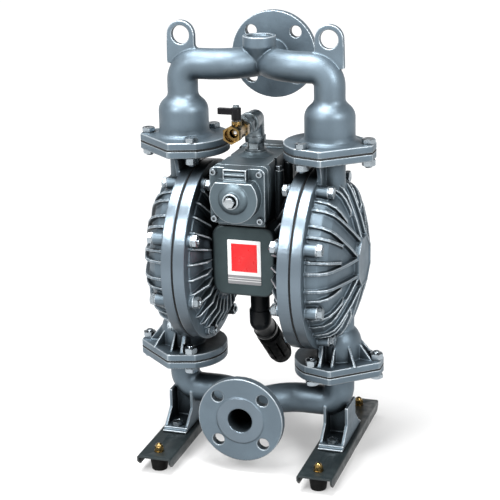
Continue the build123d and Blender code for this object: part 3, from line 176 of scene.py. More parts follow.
class PumpLabelSettings(bpy.types.PropertyGroup):
    face: colour("Face", "Ground of the label", (0.86, 0.86, 0.86))
    panel: colour("Panel", "Plain panel on the label", (0.80, 0.006, 0.01))
    strip: colour("Strip", "Strip along the label's foot", (0.24, 0.24, 0.25))
    strip_height: length("Strip Height", "Height of the strip", 0.0145)


class PumpStageSettings(bpy.types.PropertyGroup):
    floor: colour("Floor", "Colour of the floor and the background", (0.9, 0.9, 0.9))
    azimuth: FloatProperty(name="Azimuth", description="Turn of the camera from the front", subtype="ANGLE",
                           default=radians(18.2717))
    elevation: FloatProperty(name="Elevation", description="Height of the camera as an angle",
                             subtype="ANGLE", default=radians(17.8485))
    roll: FloatProperty(name="Roll", description="Roll of the camera", subtype="ANGLE",
                        default=radians(-1.3107))
    distance: length("Distance", "From the camera to its target", 2.33294)
    lens: FloatProperty(name="Lens", description="Focal length in millimetres on a 36 mm sensor",
                        default=104.735)
    target: FloatVectorProperty(name="Target", description="Point that the camera looks at",
                                subtype="XYZ", unit="LENGTH", precision=5,
                                default=(-0.01428, 0.0, 0.33822))
    key: FloatProperty(name="Key Light", description="Power of the large light from the left", default=48.0)
    top: FloatProperty(name="Top Light", description="Power of the light overhead", default=86.0)
    side: FloatProperty(name="Side Light", description="Power of the light from the right", default=44.0)
    room: share("Room Light", "Strength of the light all round", 0.20)
    ceiling: share("Ceiling", "Brightness of the ceiling in reflections", 0.10)


# Meshes and objects

def link(piece):
    """Puts an object into the scene."""
    bpy.context.scene.collection.objects.link(piece)
    return piece


def new_object(name, mesh):
    """An object at the origin that holds the mesh."""
    return link(bpy.data.objects.new(name, mesh))


def made_plain(piece):
    """Turns a piece's modifiers into its mesh."""
    bpy.context.view_layer.update()
    graph = bpy.context.evaluated_depsgraph_get()
    mesh = bpy.data.meshes.new_from_object(piece.evaluated_get(graph), depsgraph=graph)
    mesh.name = piece.name
    piece.modifiers.clear()
    piece.data = mesh
    return piece


def painted(piece, material):
    """Gives the whole piece one material."""
    piece.data.materials.clear()
    piece.data.materials.append(material)
    for face in piece.data.polygons:
        face.material_index = 0
    return piece


def stand_for(piece, material, *nodes):
    """Finishes a piece that stands for nodes of the frame: it takes the material and the first node's body,
    and the nodes are hidden.
    """
    painted(piece, material)
    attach(piece, BODY_OF[nodes[0]])
    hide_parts(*nodes)
    return piece


def finish_node(node, material):
    """Gives a node of the frame its finish."""
    source = frame["nodes"][node]
    source.data.materials.clear()
    source.data.materials.append(material)


def merged_copy(node, name):
    """A copy of a node with its loose triangles joined and its flat faces made whole."""
    shape = bmesh.new()
    shape.from_mesh(frame["nodes"][node].data)
    bmesh.ops.remove_doubles(shape, verts=shape.verts, dist=2e-6)
    bmesh.ops.dissolve_limit(shape, angle_limit=radians(0.6), verts=shape.verts, edges=shape.edges)
    mesh = bpy.data.meshes.new(name)
    shape.to_mesh(mesh)
    shape.free()
    return new_object(name, mesh)


def soft_edged(node, name, width, material, sharp=38.0):
    """A copy of a node with its edges rounded, which stands for it."""
    piece = merged_copy(node, name)
    bevel = piece.modifiers.new("Edges", "BEVEL")
    bevel.width = width
    bevel.segments = 2
    bevel.limit_method = "ANGLE"
    bevel.angle_limit = radians(sharp)
    made_plain(piece)
    piece.data.shade_smooth()
    piece.data.set_sharp_from_angle(angle=radians(sharp))
    return stand_for(piece, material, node)


def triangles(piece):
    """Triangles in a piece's mesh."""
    return sum(len(face.vertices) - 2 for face in piece.data.polygons)


def cast_copy(node, name, spacing, settings, material):
    """A copy of a casting with rounded edges and filled corners, which stands for it."""
    piece = new_object(name, frame["nodes"][node].data.copy())
    skin = piece.modifiers.new("Skin", "REMESH")
    skin.mode = "VOXEL"
    skin.voxel_size = spacing
    skin.use_smooth_shade = True
    soften = piece.modifiers.new("Soften", "SMOOTH")
    soften.factor = 0.5
    soften.iterations = settings.softness
    made_plain(piece)
    if triangles(piece) > settings.most_triangles:
        thin = piece.modifiers.new("Thin", "DECIMATE")
        thin.ratio = settings.most_triangles / triangles(piece)
        made_plain(piece)
    piece.data.shade_smooth()
    return stand_for(piece, material, node)


def lathe(name, rings, segments):
    """A closed mesh round Z. Each ring gives a radius and a height at an angle, from the bottom up."""
    shape = bmesh.new()
    rows = []
    for ring in rings:
        row = []
        for k in range(segments):
            angle = k * tau / segments
            radius, height = ring(angle)
            row.append(shape.verts.new((radius * cos(angle), radius * sin(angle), height)))
        rows.append(row)
    for low, high in zip(rows, rows[1:]):
        for k in range(segments):
            after = (k + 1) % segments
            shape.faces.new((low[k], low[after], high[after], high[k]))
    shape.faces.new(list(reversed(rows[0])))
    shape.faces.new(rows[-1])
    mesh = bpy.data.meshes.new(name)
    shape.to_mesh(mesh)
    shape.free()
    return mesh


def level(radius, height):
    """A round ring for the lathe."""
    return lambda angle: (radius, height)


def hexagon(across, angle):
    """Radius of a hexagon across its flats at an angle."""
    return across / 2 / cos(angle % (pi / 3) - pi / 6)


def hexagon_rings(across, bottom, top, both=False):
    """Rings of a hexagon whose corners are turned off at the top, and at the bottom where asked."""
    flat = across / 2 * HEXAGON_FACE

    def cut(angle):
        return (hexagon(across, angle) - flat) * HEXAGON_SLOPE

    rings = [lambda angle: (hexagon(across, angle), bottom)]
    if both:
        rings = [level(flat, bottom), lambda angle: (hexagon(across, angle), bottom + cut(angle))]
    return rings + [lambda angle: (hexagon(across, angle), top - cut(angle)), level(flat, top)]


def thread_rings(radius, bottom, top, settings):
    """Rings of a screw thread between two heights, with a chamfered end."""
    pitch, depth = settings.thread_pitch, settings.thread_depth
    steps = max(2, round((top - bottom) / pitch * 4))

    def ring(height):
        def at(angle):
            phase = (height / pitch - angle / tau) % 1
            return radius - depth * abs(2 * phase - 1), height
        return at

    end = 0.8 * MM
    heights = [bottom + (top - end - bottom) * k / steps for k in range(steps + 1)]
    return [ring(height) for height in heights] + [level(radius - depth - 0.3 * MM, top)]


def bolt_head(name, across, height, settings):
    """A hexagon head on its washer face, with a shallow dish in its top."""
    face = settings.washer_face
    rings = [level(across / 2 * 0.97, 0), level(across / 2 * 0.97, face)]
    rings += hexagon_rings(across, face, height)
    rings += [level(across / 2 * 0.72, height), level(across / 2 * 0.66, height - 0.35 * MM)]
    return lathe(name, rings, settings.segments)


def nut_with_end(name, across, height, thread_radius, end, settings):
    """A nut with the threaded end of its bolt standing out of it."""
    rings = hexagon_rings(across, 0, height, both=True)
    rings += [level(thread_radius + 0.7 * MM, height), level(thread_radius - 0.2 * MM, height - 0.6 * MM)]
    rings += thread_rings(thread_radius, height - 0.6 * MM, height + end, settings)
    return lathe(name, rings, settings.segments)


def dome_nut(name, settings):
    """A cap nut on its washer."""
    rings = [level(8 * MM, 0), level(8 * MM, 1.4 * MM), level(7.6 * MM, 1.6 * MM)]
    rings += hexagon_rings(13 * MM, 1.6 * MM, 8.6 * MM)
    rings += [level(5.6 * MM * cos(a), 8.6 * MM + 5.6 * MM * sin(a))
              for a in (radians(d) for d in (2, 18, 34, 50, 66, 80))]
    return lathe(name, rings, settings.segments)


def socket_head(name, settings):
    """A socket head screw on its spring washer, with a knurled side and a hexagon recess."""
    def knurl(height):
        return lambda a: (5 * MM - 0.16 * MM * (0.5 + 0.5 * cos(18 * a)), height)

    rings = [level(5.0 * MM, 0), level(5.0 * MM, 1.3 * MM), level(4.3 * MM, 1.3 * MM),
             level(4.3 * MM, 1.5 * MM), level(4.9 * MM, 1.5 * MM), knurl(1.8 * MM), knurl(5.5 * MM),
             level(4.6 * MM, 6 * MM), lambda a: (hexagon(5.2 * MM, a), 6 * MM),
             lambda a: (hexagon(5.0 * MM, a), 3.2 * MM)]
    return lathe(name, rings, 2 * settings.segments)


# Node trees that set pieces out

class NodeMaker:
    """Adds nodes to a tree and joins them."""

    def __init__(self, tree):
        self.tree = tree

    def add(self, kind, feeds=None, **settings):
        """Adds a node. Its settings are attributes and its feeds are sockets or values by input name."""
        node = self.tree.nodes.new(kind)
        for key, value in settings.items():
            setattr(node, key, value)
        for key, value in (feeds or {}).items():
            if isinstance(value, bpy.types.NodeSocket):
                self.tree.links.new(value, node.inputs[key])
            else:
                node.inputs[key].default_value = value
        return node


class SetOutTree(NodeMaker):
    """A geometry node tree that sets a piece out in places."""

    def __init__(self, name, inputs):
        super().__init__(bpy.data.node_groups.new(name, "GeometryNodeTree"))
        sockets = self.tree.interface
        for label, kind in inputs:
            sockets.new_socket(name=label, in_out="INPUT", socket_type="NodeSocket" + kind)
        sockets.new_socket(name="Geometry", in_out="OUTPUT", socket_type="NodeSocketGeometry")
        self.inputs = self.tree.nodes.new("NodeGroupInput").outputs

    def close(self, instances):
        """Turns the instances to face their way, makes them real and gives them their material."""
        way = self.add("FunctionNodeEulerToRotation", {"Euler": self.inputs["Facing"]})
        placed = self.add("GeometryNodeTransform", {"Geometry": instances, "Rotation": way.outputs[0],
                                                    "Translation": self.inputs["Centre"]})
        real = self.add("GeometryNodeRealizeInstances", {"Geometry": placed.outputs[0]})
        coated = self.add("GeometryNodeSetMaterial", {"Geometry": real.outputs[0],
                                                      "Material": self.inputs["Material"]})
        self.add("NodeGroupOutput", {"Geometry": coated.outputs[0]})
        return self.tree


def ring_tree():
    """Sets a piece out on a circle and turns the circle to face a way."""
    tree = SetOutTree("Pump Ring", [("Piece", "Object"), ("Count", "Int"), ("Circle Radius", "Float"),
                                    ("First Angle", "Float"), ("Centre", "Vector"),
                                    ("Facing", "Vector"), ("Material", "Material")])
    points = tree.add("GeometryNodePoints", {"Count": tree.inputs["Count"]})
    index = tree.add("GeometryNodeInputIndex")
    step = tree.add("ShaderNodeMath", {0: tau, 1: tree.inputs["Count"]}, operation="DIVIDE")
    turn = tree.add("ShaderNodeMath", {0: index.outputs[0], 1: step.outputs[0]}, operation="MULTIPLY")
    angle = tree.add("ShaderNodeMath", {0: turn.outputs[0], 1: tree.inputs["First Angle"]}, operation="ADD")
    arm = tree.add("ShaderNodeCombineXYZ", {"X": tree.inputs["Circle Radius"]})
    spot = tree.add("ShaderNodeVectorRotate", {"Vector": arm.outputs[0], "Angle": angle.outputs[0]},
                    rotation_type="Z_AXIS")
    moved = tree.add("GeometryNodeSetPosition", {"Geometry": points.outputs[0], "Position": spot.outputs[0]})
    piece = tree.add("GeometryNodeObjectInfo", {"Object": tree.inputs["Piece"]})
    spin = tree.add("ShaderNodeCombineXYZ", {"Z": angle.outputs[0]})
    turned = tree.add("FunctionNodeEulerToRotation", {"Euler": spin.outputs[0]})
    copies = tree.add("GeometryNodeInstanceOnPoints", {"Points": moved.outputs[0],
                                                       "Instance": piece.outputs["Geometry"],
                                                       "Rotation": turned.outputs[0]})
    return tree.close(copies.outputs[0])


def corner_tree():
    """Sets a piece out on the four corners of a rectangle and turns the rectangle to face a way."""
    tree = SetOutTree("Pump Corners", [("Piece", "Object"), ("Width", "Float"), ("Height", "Float"),
                                       ("Centre", "Vector"), ("Facing", "Vector"),
                                       ("Material", "Material")])
    grid = tree.add("GeometryNodeMeshGrid", {"Size X": tree.inputs["Width"],
                                             "Size Y": tree.inputs["Height"],
                                             "Vertices X": 2, "Vertices Y": 2})
    piece = tree.add("GeometryNodeObjectInfo", {"Object": tree.inputs["Piece"]})
    copies = tree.add("GeometryNodeInstanceOnPoints", {"Points": grid.outputs[0],
                                                       "Instance": piece.outputs["Geometry"]})
    return tree.close(copies.outputs[0])


def set_out(name, mesh, tree, places, material):
    """Runs a tree once for each place and joins what it makes into one piece."""
    template = new_object(name + "_template", mesh)
    made = []
    for place in places:
        run = new_object(name, bpy.data.meshes.new(name))
        modifier = run.modifiers.new("Set Out", "NODES")
        modifier.node_group = tree
        values = {"Piece": template, "Material": material, **place}
        for item in tree.interface.items_tree:
            if item.in_out == "INPUT":
                modifier[item.identifier] = values[item.name]
        made.append(made_plain(run))
    shape = bmesh.new()
    for run in made:
        shape.from_mesh(run.data)
        bpy.data.objects.remove(run)
    bpy.data.objects.remove(template)
    joined = bpy.data.meshes.new(name)
    shape.to_mesh(joined)
    shape.free()
    piece = new_object(name, joined)
    piece.data.shade_smooth()
    piece.data.set_sharp_from_angle(angle=radians(32))
    return piece


def circle(count, radius, first, centre, facing):
    """Values of a place on a circle for the ring tree."""
    return {"Count": count, "Circle Radius": radius, "First Angle": first, "Centre": centre,
            "Facing": FACING[facing]}


def corners(width, height, centre, facing):
    """Values of a place on a rectangle for the corner tree."""
    return {"Width": width, "Height": height, "Centre": centre, "Facing": FACING[facing]}


# Finishes

class Finish(NodeMaker):
    """A procedural material: one shader and the patterns that feed it, on Object coordinates."""

    def __init__(self, name, base, metallic, roughness):
        self.material = bpy.data.materials.new(name)
        self.material.use_nodes = True
        super().__init__(self.material.node_tree)
        self.shader = self.tree.nodes["Principled BSDF"]
        self.shader.inputs["Metallic"].default_value = metallic
        self.shader.inputs["Roughness"].default_value = roughness
        self.shader.inputs["Base Color"].default_value = (*base, 1)
        self.base = (*base, 1)
        self.normal = None
        self.place = self.add("ShaderNodeTexCoord").outputs["Object"]

    def noise(self, scale, detail=3.0, stretch=(1, 1, 1)):
        """Clouds of a given number to the metre."""
        place = self.place
        if stretch != (1, 1, 1):
            place = self.add("ShaderNodeVectorMath", {0: place, 1: stretch}, operation="MULTIPLY").outputs[0]
        return self.add("ShaderNodeTexNoise", {"Vector": place, "Scale": scale, "Detail": detail}).outputs[0]

    def band(self, value, low, high, start=0.0, end=1.0):
        """A smooth step from one value to another."""
        return self.add("ShaderNodeMapRange", {"Value": value, "From Min": low, "From Max": high,
                                               "To Min": start, "To Max": end},
                        interpolation_type="SMOOTHSTEP").outputs[0]

    def maths(self, operation, first, second=0.0):
        """One step of arithmetic."""
        return self.add("ShaderNodeMath", {0: first, 1: second}, operation=operation).outputs[0]

    def part(self, axis):
        """One Object coordinate."""
        return self.add("ShaderNodeSeparateXYZ", {0: self.place}).outputs[axis]

    def distance(self, centre, kept):
        """Distance from a line or a point: kept has a one for each axis that counts."""
        away = self.add("ShaderNodeVectorMath", {0: self.place, 1: centre}, operation="SUBTRACT").outputs[0]
        flat = self.add("ShaderNodeVectorMath", {0: away, 1: kept}, operation="MULTIPLY").outputs[0]
        return self.add("ShaderNodeVectorMath", {0: flat}, operation="LENGTH").outputs["Value"]

    def tint(self, factor, other):
        """Mixes another colour into the base by a pattern."""
        mix = self.add("ShaderNodeMix", {0: factor, 6: self.base, 7: (*other, 1)}, data_type="RGBA")
        self.base = mix.outputs[2]
        self.tree.links.new(self.base, self.shader.inputs["Base Color"])

    def feed(self, name, value):
        """Feeds a pattern into one of the shader's inputs."""
        self.tree.links.new(value, self.shader.inputs[name])

    def bump(self, height, distance, strength=1.0):
        """Adds a relief of a given depth."""
        feeds = {"Height": height, "Distance": distance, "Strength": strength}
        if self.normal:
            feeds["Normal"] = self.normal
        self.normal = self.add("ShaderNodeBump", feeds).outputs[0]
        self.tree.links.new(self.normal, self.shader.inputs["Normal"])

    def underside(self, most):
        """Nought on what faces up or out, and the given share on what faces down."""
        normal = self.add("ShaderNodeNewGeometry").outputs["Normal"]
        upward = self.add("ShaderNodeSeparateXYZ", {0: normal}).outputs[2]
        return self.band(upward, 0.02, -0.78, 0.0, most)

    def crevices(self, reach, low, high):
        """One in the open and nought deep in a corner."""
        shade = self.add("ShaderNodeAmbientOcclusion", {"Distance": reach}, samples=6)
        return self.band(shade.outputs["AO"], low, high)


def shaded(base, amount):
    """A colour made darker or lighter by a factor."""
    return tuple(min(1.0, value * amount) for value in base)


def cast_finish(name, base, settings, machined=None):
    """Paint over a sand casting, lightened on its edges as wear and as painted highlight, with painted shade
    in its corners and on its undersides, and bare turned faces.
    """
    finish = Finish(name, base, 0.75, 0.47)
    clouds = finish.noise(16.0, 4.0)
    finish.tint(finish.band(clouds, 0.35, 0.7), shaded(base, 1.22))
    speckle = finish.noise(420.0, 2.0)
    finish.tint(finish.band(speckle, 0.60, 0.74, 0.0, 0.18), shaded(base, 0.62))
    # Sharp edges lightened towards the edge colour: partly wear, partly painted highlight.
    edges = finish.add("ShaderNodeNewGeometry").outputs["Pointiness"]
    finish.tint(finish.band(edges, 0.51, 0.565, 0.0, 0.9), settings.edge_wear_and_highlight)
    open_air = finish.crevices(0.055, 0.16, 0.86)
    roughness = finish.band(finish.noise(60.0), 0.3, 0.75, 0.43, 0.54)
    grain = finish.noise(950.0, 3.0)
    lumps = finish.noise(140.0, 2.0)
    if machined:
        turned, grooves = machined(finish)
        finish.tint(turned, settings.machined)
        painted_part = finish.maths("SUBTRACT", 1.0, turned)
        roughness = finish.add("ShaderNodeMix", {0: turned, 2: roughness, 3: 0.30}).outputs[0]
        grain = finish.maths("MULTIPLY", grain, painted_part)
        finish.bump(finish.maths("MULTIPLY", grooves, turned), 0.00006)
    # Painted shade: corners and recesses are darkened towards the dark shade colour.
    finish.tint(finish.maths("SUBTRACT", 1.0, open_air), settings.painted_shade)
    # Painted shade: surfaces that face down are darkened towards the dark shade colour.
    finish.tint(finish.underside(0.62), settings.painted_shade)
    finish.feed("Roughness", roughness)
    finish.bump(lumps, settings.grain * 2.2, 0.5)
    finish.bump(grain, settings.grain, 0.6)
    return finish.material


def turned_rim(finish):
    """The rims of the two chamber rings are turned: mask and turning grooves."""
    radius = finish.distance((0, 0, PUMP_AXIS_HEIGHT), (0, 1, 1))
    rim = finish.maths("MULTIPLY", finish.band(radius, *RIM_INNER), finish.band(radius, *RIM_OUTER))
    across = finish.maths("ABSOLUTE", finish.part(0))
    grooves = finish.noise(900.0, 1.0, (1, 0.02, 0.02))
    return finish.maths("MULTIPLY", rim, finish.band(across, *RIM_SIDE)), grooves


def faced_port(height, towards):
    """The raised face of a port flange is faced, and the flange behind it is skimmed."""
    def machined(finish):
        centre = (0, towards * PORT_FACE_Y, height)
        radius = finish.distance(centre, (1, 0, 1))
        depth = finish.distance(centre, (0, 1, 0))
        raised = finish.maths("MULTIPLY", finish.band(radius, *RAISED_EDGE),
                              finish.band(depth, *RAISED_DEPTH))
        skimmed = finish.maths("MULTIPLY", finish.band(radius, *SKIMMED_EDGE),
                               finish.band(depth, *SKIMMED_DEPTH))
        wave = finish.maths("SINE", finish.maths("MULTIPLY", radius, GROOVES_TO_THE_METRE))
        faced = finish.maths("MAXIMUM", raised, finish.maths("MULTIPLY", skimmed, SKIMMED_SHARE))
        return faced, wave
    return machined


def metal_finish(name, base, roughness, smear=900.0, stretch=(1, 1, 1), stain=0.7):
    """Bare or plated metal with a fine uneven sheen, a few stains and painted shade in its corners."""
    finish = Finish(name, base, 1.0, roughness)
    finish.tint(finish.band(finish.noise(75.0, 3.0), 0.5, 0.78, 0.0, 0.55), shaded(base, stain))
    # Painted shade: corners are darkened.
    finish.tint(finish.maths("SUBTRACT", 1.0, finish.crevices(0.006, 0.15, 0.8)), shaded(base, 0.12))
    finish.feed("Roughness", finish.band(finish.noise(160.0), 0.3, 0.75, roughness * 0.75, roughness * 1.45))
    finish.bump(finish.noise(smear, 2.0, stretch), 0.00004, 0.5)
    return finish.material


def moulded_finish(name, base, roughness, grain=0.00006, gloss=0.25):
    """Plastic or rubber with a fine moulded grain and faint dust."""
    finish = Finish(name, base, 0.0, roughness)
    finish.shader.inputs["Specular IOR Level"].default_value = gloss
    finish.tint(finish.band(finish.noise(45.0, 3.0), 0.45, 0.75, 0.0, 0.6), shaded(base, 1.8))
    finish.feed("Roughness", finish.band(finish.noise(120.0), 0.3, 0.75, roughness * 0.8, roughness * 1.2))
    finish.bump(finish.noise(1300.0, 2.0), grain, 0.7)
    return finish.material


def rail_finish(name, base):
    """Thick grey paint over a pressed channel, with scratches, painted shade in its corners and painted
    shade on what faces down.
    """
    finish = Finish(name, base, 0.35, 0.40)
    finish.tint(finish.band(finish.noise(22.0, 4.0), 0.35, 0.7), shaded(base, 1.35))
    # Painted shade: corners are darkened.
    finish.tint(finish.maths("SUBTRACT", 1.0, finish.crevices(0.05, 0.10, 0.80)), shaded(base, 0.12))
    # Painted shade: what faces down is darkened.
    finish.tint(finish.underside(0.7), shaded(base, 0.1))
    scratches = finish.noise(420.0, 2.0, (1, 0.06, 1))
    finish.tint(finish.band(scratches, 0.66, 0.74, 0.0, 0.5), shaded(base, 2.2))
    finish.feed("Roughness", finish.band(finish.noise(90.0), 0.3, 0.75, 0.32, 0.52))
    finish.bump(finish.noise(260.0, 3.0), 0.00006, 0.5)
    return finish.material


def gasket_finish(name, base):
    """Pressed fibre sheet."""
    finish = Finish(name, base, 0.0, 0.85)
    finish.tint(finish.band(finish.noise(700.0, 4.0, (1, 1, 0.3)), 0.4, 0.7), shaded(base, 0.72))
    finish.bump(finish.noise(1500.0, 2.0), 0.00008, 0.6)
    return finish.material


def label_finish(name, settings, low, high):
    """A plain printed plate: a coloured panel in the middle and a strip with fine rules along the foot."""
    finish = Finish(name, settings.face, 0.0, 0.34)
    across = finish.part(0)
    up = finish.part(2)
    soft = 0.00008

    def inside(value, start, end):
        rise = finish.band(value, start - soft, start + soft)
        return finish.maths("MULTIPLY", rise, finish.band(value, end + soft, end - soft))

    margin = 0.006
    strip_top = low.z + settings.strip_height
    panel = finish.maths("MULTIPLY", inside(across, low.x + margin, high.x - margin),
                         inside(up, strip_top + margin, high.z - margin))
    finish.tint(panel, settings.panel)
    finish.tint(inside(up, low.z - 1, strip_top), settings.strip)
    for share_up in (0.36, 0.62):
        rule = low.z + share_up * settings.strip_height
        finish.tint(inside(up, rule, rule + 0.0009), settings.face)
    finish.feed("Roughness", finish.band(finish.noise(90.0), 0.3, 0.8, 0.26, 0.44))
    finish.bump(finish.noise(240.0, 2.0), 0.00005, 0.4)
    return finish.material


# Operators, one for each group of pieces and one for the stage

class PUMP_OT_stage(bpy.types.Operator):
    """Set up the floor, the lights and the camera"""
    bl_idname = "pump.stage"
    bl_label = "Stage"

    def execute(self, context):
        scene = context.scene
        settings = scene.pump_stage
        scene.view_settings.view_transform = "Standard"
        self.make_camera(scene, settings)
        self.make_world(scene, settings)
        self.make_floor(settings)
        for name, place, width, height, power in (
                ("key_light", (-0.75, -1.75, 1.75), 0.75, 0.85, settings.key),
                ("top_light", (-0.25, -0.35, 2.15), 1.5, 0.8, settings.top),
                ("side_light", (1.6, -1.1, 1.5), 0.7, 0.9, settings.side)):
            self.make_light(name, Vector(place), Vector((0, 0, 0.36)), width, height, power)
        return {"FINISHED"}

    def make_camera(self, scene, settings):
        """The photograph's view: a turn, a height and a roll about the target."""
        turn, rise, roll = settings.azimuth, settings.elevation, settings.roll
        back = Vector((sin(turn) * cos(rise), -cos(turn) * cos(rise), sin(rise)))
        level_right = Vector((cos(turn), sin(turn), 0))
        level_up = back.cross(level_right)
        right = cos(roll) * level_right + sin(roll) * level_up
        up = cos(roll) * level_up - sin(roll) * level_right
        data = bpy.data.cameras.new("camera")
        data.sensor_width = 36.0
        data.lens = settings.lens
        data.clip_start, data.clip_end = 0.05, 50.0
        camera = link(bpy.data.objects.new("camera", data))
        eye = Vector(settings.target) + back * settings.distance
        camera.matrix_world = Matrix.Translation(eye) @ Matrix((right, up, back)).transposed().to_4x4()
        scene.camera = camera

    def make_world(self, scene, settings):
        """A plain pale sweep under a dim ceiling: soft light, and the sweep's white where it is seen."""
        world = bpy.data.worlds.new("room")
        world.use_nodes = True
        scene.world = world
        world.node_tree.nodes.clear()
        maker = NodeMaker(world.node_tree)
        way = maker.add("ShaderNodeTexCoord")
        parts = maker.add("ShaderNodeSeparateXYZ", {0: way.outputs["Generated"]})
        ceiling = maker.add("ShaderNodeMapRange",
                            {"Value": parts.outputs["Z"], "From Min": 0.10, "From Max": 0.55,
                             "To Min": 1.0, "To Max": settings.ceiling},
                            interpolation_type="SMOOTHSTEP")
        path = maker.add("ShaderNodeLightPath")
        white = maker.add("ShaderNodeMath", {0: path.outputs["Is Camera Ray"], 1: ceiling.outputs[0]},
                          operation="MAXIMUM")
        room = maker.add("ShaderNodeBackground", {"Strength": settings.room})
        seen = maker.add("ShaderNodeBackground", {"Color": (1, 1, 1, 1), "Strength": white.outputs[0]})
        mix = maker.add("ShaderNodeMixShader",
                        {0: self.seen_rays(maker), 1: room.outputs[0], 2: seen.outputs[0]})
        maker.add("ShaderNodeOutputWorld", {"Surface": mix.outputs[0]})

    def make_floor(self, settings):
        """A wide pale floor that keeps the pump's shadow."""
        bpy.ops.mesh.primitive_grid_add(x_subdivisions=4, y_subdivisions=4, size=60,
                                        location=(0, 0, -0.0003))
        floor = bpy.context.object
        floor.name = "floor"
        material = bpy.data.materials.new("pale_floor")
        material.use_nodes = True
        material.node_tree.nodes.clear()
        maker = NodeMaker(material.node_tree)
        paint = maker.add("ShaderNodeBsdfDiffuse", {"Color": (*shaded(settings.floor, FLOOR_SHARE), 1)})
        place = maker.add("ShaderNodeTexCoord")
        reach = maker.add("ShaderNodeVectorMath", {0: place.outputs["Object"]}, operation="LENGTH")
        fade = maker.add("ShaderNodeMapRange", {"Value": reach.outputs["Value"], "From Min": 0.4,
                                                "From Max": 2.6, "To Min": 0.38, "To Max": 0.98})
        glow = maker.add("ShaderNodeEmission", {"Strength": fade.outputs[0]})
        both = maker.add("ShaderNodeAddShader", {0: paint.outputs[0], 1: glow.outputs[0]})
        mix = maker.add("ShaderNodeMixShader",
                        {0: self.seen_rays(maker), 1: paint.outputs[0], 2: both.outputs[0]})
        maker.add("ShaderNodeOutputMaterial", {"Surface": mix.outputs[0]})
        floor.data.materials.append(material)
        floor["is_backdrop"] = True

    def seen_rays(self, maker):
        """One for the rays of the camera, of reflections and of glass."""
        path = maker.add("ShaderNodeLightPath")
        total = path.outputs["Is Camera Ray"]
        for name in ("Is Glossy Ray", "Is Transmission Ray"):
            feeds = {0: total, 1: path.outputs[name]}
            total = maker.add("ShaderNodeMath", feeds, operation="MAXIMUM").outputs[0]
        return total

    def make_light(self, name, place, aim, width, height, power):
        """A soft box that looks at the pump."""
        data = bpy.data.lights.new(name, "AREA")
        data.shape = "RECTANGLE"
        data.size, data.size_y = width, height
        data.energy = power
        light = link(bpy.data.objects.new(name, data))
        light.location = place
        light.rotation_euler = (aim - place).to_track_quat("-Z", "Y").to_euler()


class PUMP_OT_castings(bpy.types.Operator):
    """Round the castings as foundry work and paint them"""
    bl_idname = "pump.castings"
    bl_label = "Castings"

    def execute(self, context):
        settings = context.scene.pump_castings
        chamber = cast_finish("chamber_casting", settings.paint, settings, turned_rim)
        for side in ("right", "left"):
            for part in ("outer", "inner"):
                node = f"{part}_chamber_{side}"
                cast_copy(node, node + "_casting", settings.skin, settings, chamber)
        for node, height, towards in (("suction_manifold", SUCTION_AXIS_HEIGHT, -1),
                                      ("discharge_manifold", DISCHARGE_AXIS_HEIGHT, 1)):
            finish = cast_finish(node + "_paint", settings.paint, settings, faced_port(height, towards))
            cast_copy(node, node + "_casting", settings.skin, settings, finish)
        dark = cast_finish("grey_casting", settings.dark_paint, settings)
        cast_copy("centre_body", "centre_body_casting", settings.fine_skin, settings, dark)
        chest = cast_finish("chest_casting", settings.cap_paint, settings)
        for node in ("valve_chest", "front_cap", "rear_cap"):
            cast_copy(node, node + "_casting", settings.fine_skin, settings, chest)
        return {"FINISHED"}


class PUMP_OT_parting_beads(bpy.types.Operator):
    """Lay the dark edge of each diaphragm in the groove between its rings"""
    bl_idname = "pump.parting_beads"
    bl_label = "Parting Beads"

    def execute(self, context):
        settings = context.scene.pump_base
        rubber = moulded_finish("bead_rubber", settings.rubber, 0.6)
        half = 1.15 * MM
        root = RING_RADIUS - 4 * MM
        crown = RING_RADIUS - half
        for side, name in ((1, "right"), (-1, "left")):
            profile = [(root, -half), (crown, -half)]
            profile += [(crown + half * cos(a), half * sin(a)) for a in (radians(d) for d in (-50, 0, 50))]
            profile += [(crown, half), (root, half)]
            piece = self.ring("diaphragm_edge_" + name, profile, side * PARTING_X)
            painted(piece, rubber)
            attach(piece, "pump")
        return {"FINISHED"}

    def ring(self, name, profile, centre_x):
        """A closed ring round the pump's axis through a profile of radius and depth."""
        segments = 144
        shape = bmesh.new()
        rows = []
        for k in range(segments):
            angle = k * tau / segments
            row = []
            for radius, x in profile:
                place = (centre_x + x, radius * cos(angle), PUMP_AXIS_HEIGHT + radius * sin(angle))
                row.append(shape.verts.new(place))
            rows.append(row)
        for k in range(segments):
            here, there = rows[k], rows[(k + 1) % segments]
            for j in range(len(profile)):
                after = (j + 1) % len(profile)
                shape.faces.new((here[j], here[after], there[after], there[j]))
        bmesh.ops.recalc_face_normals(shape, faces=shape.faces)
        mesh = bpy.data.meshes.new(name)
        shape.to_mesh(mesh)
        shape.free()
        piece = new_object(name, mesh)
        piece.data.shade_smooth()
        return piece


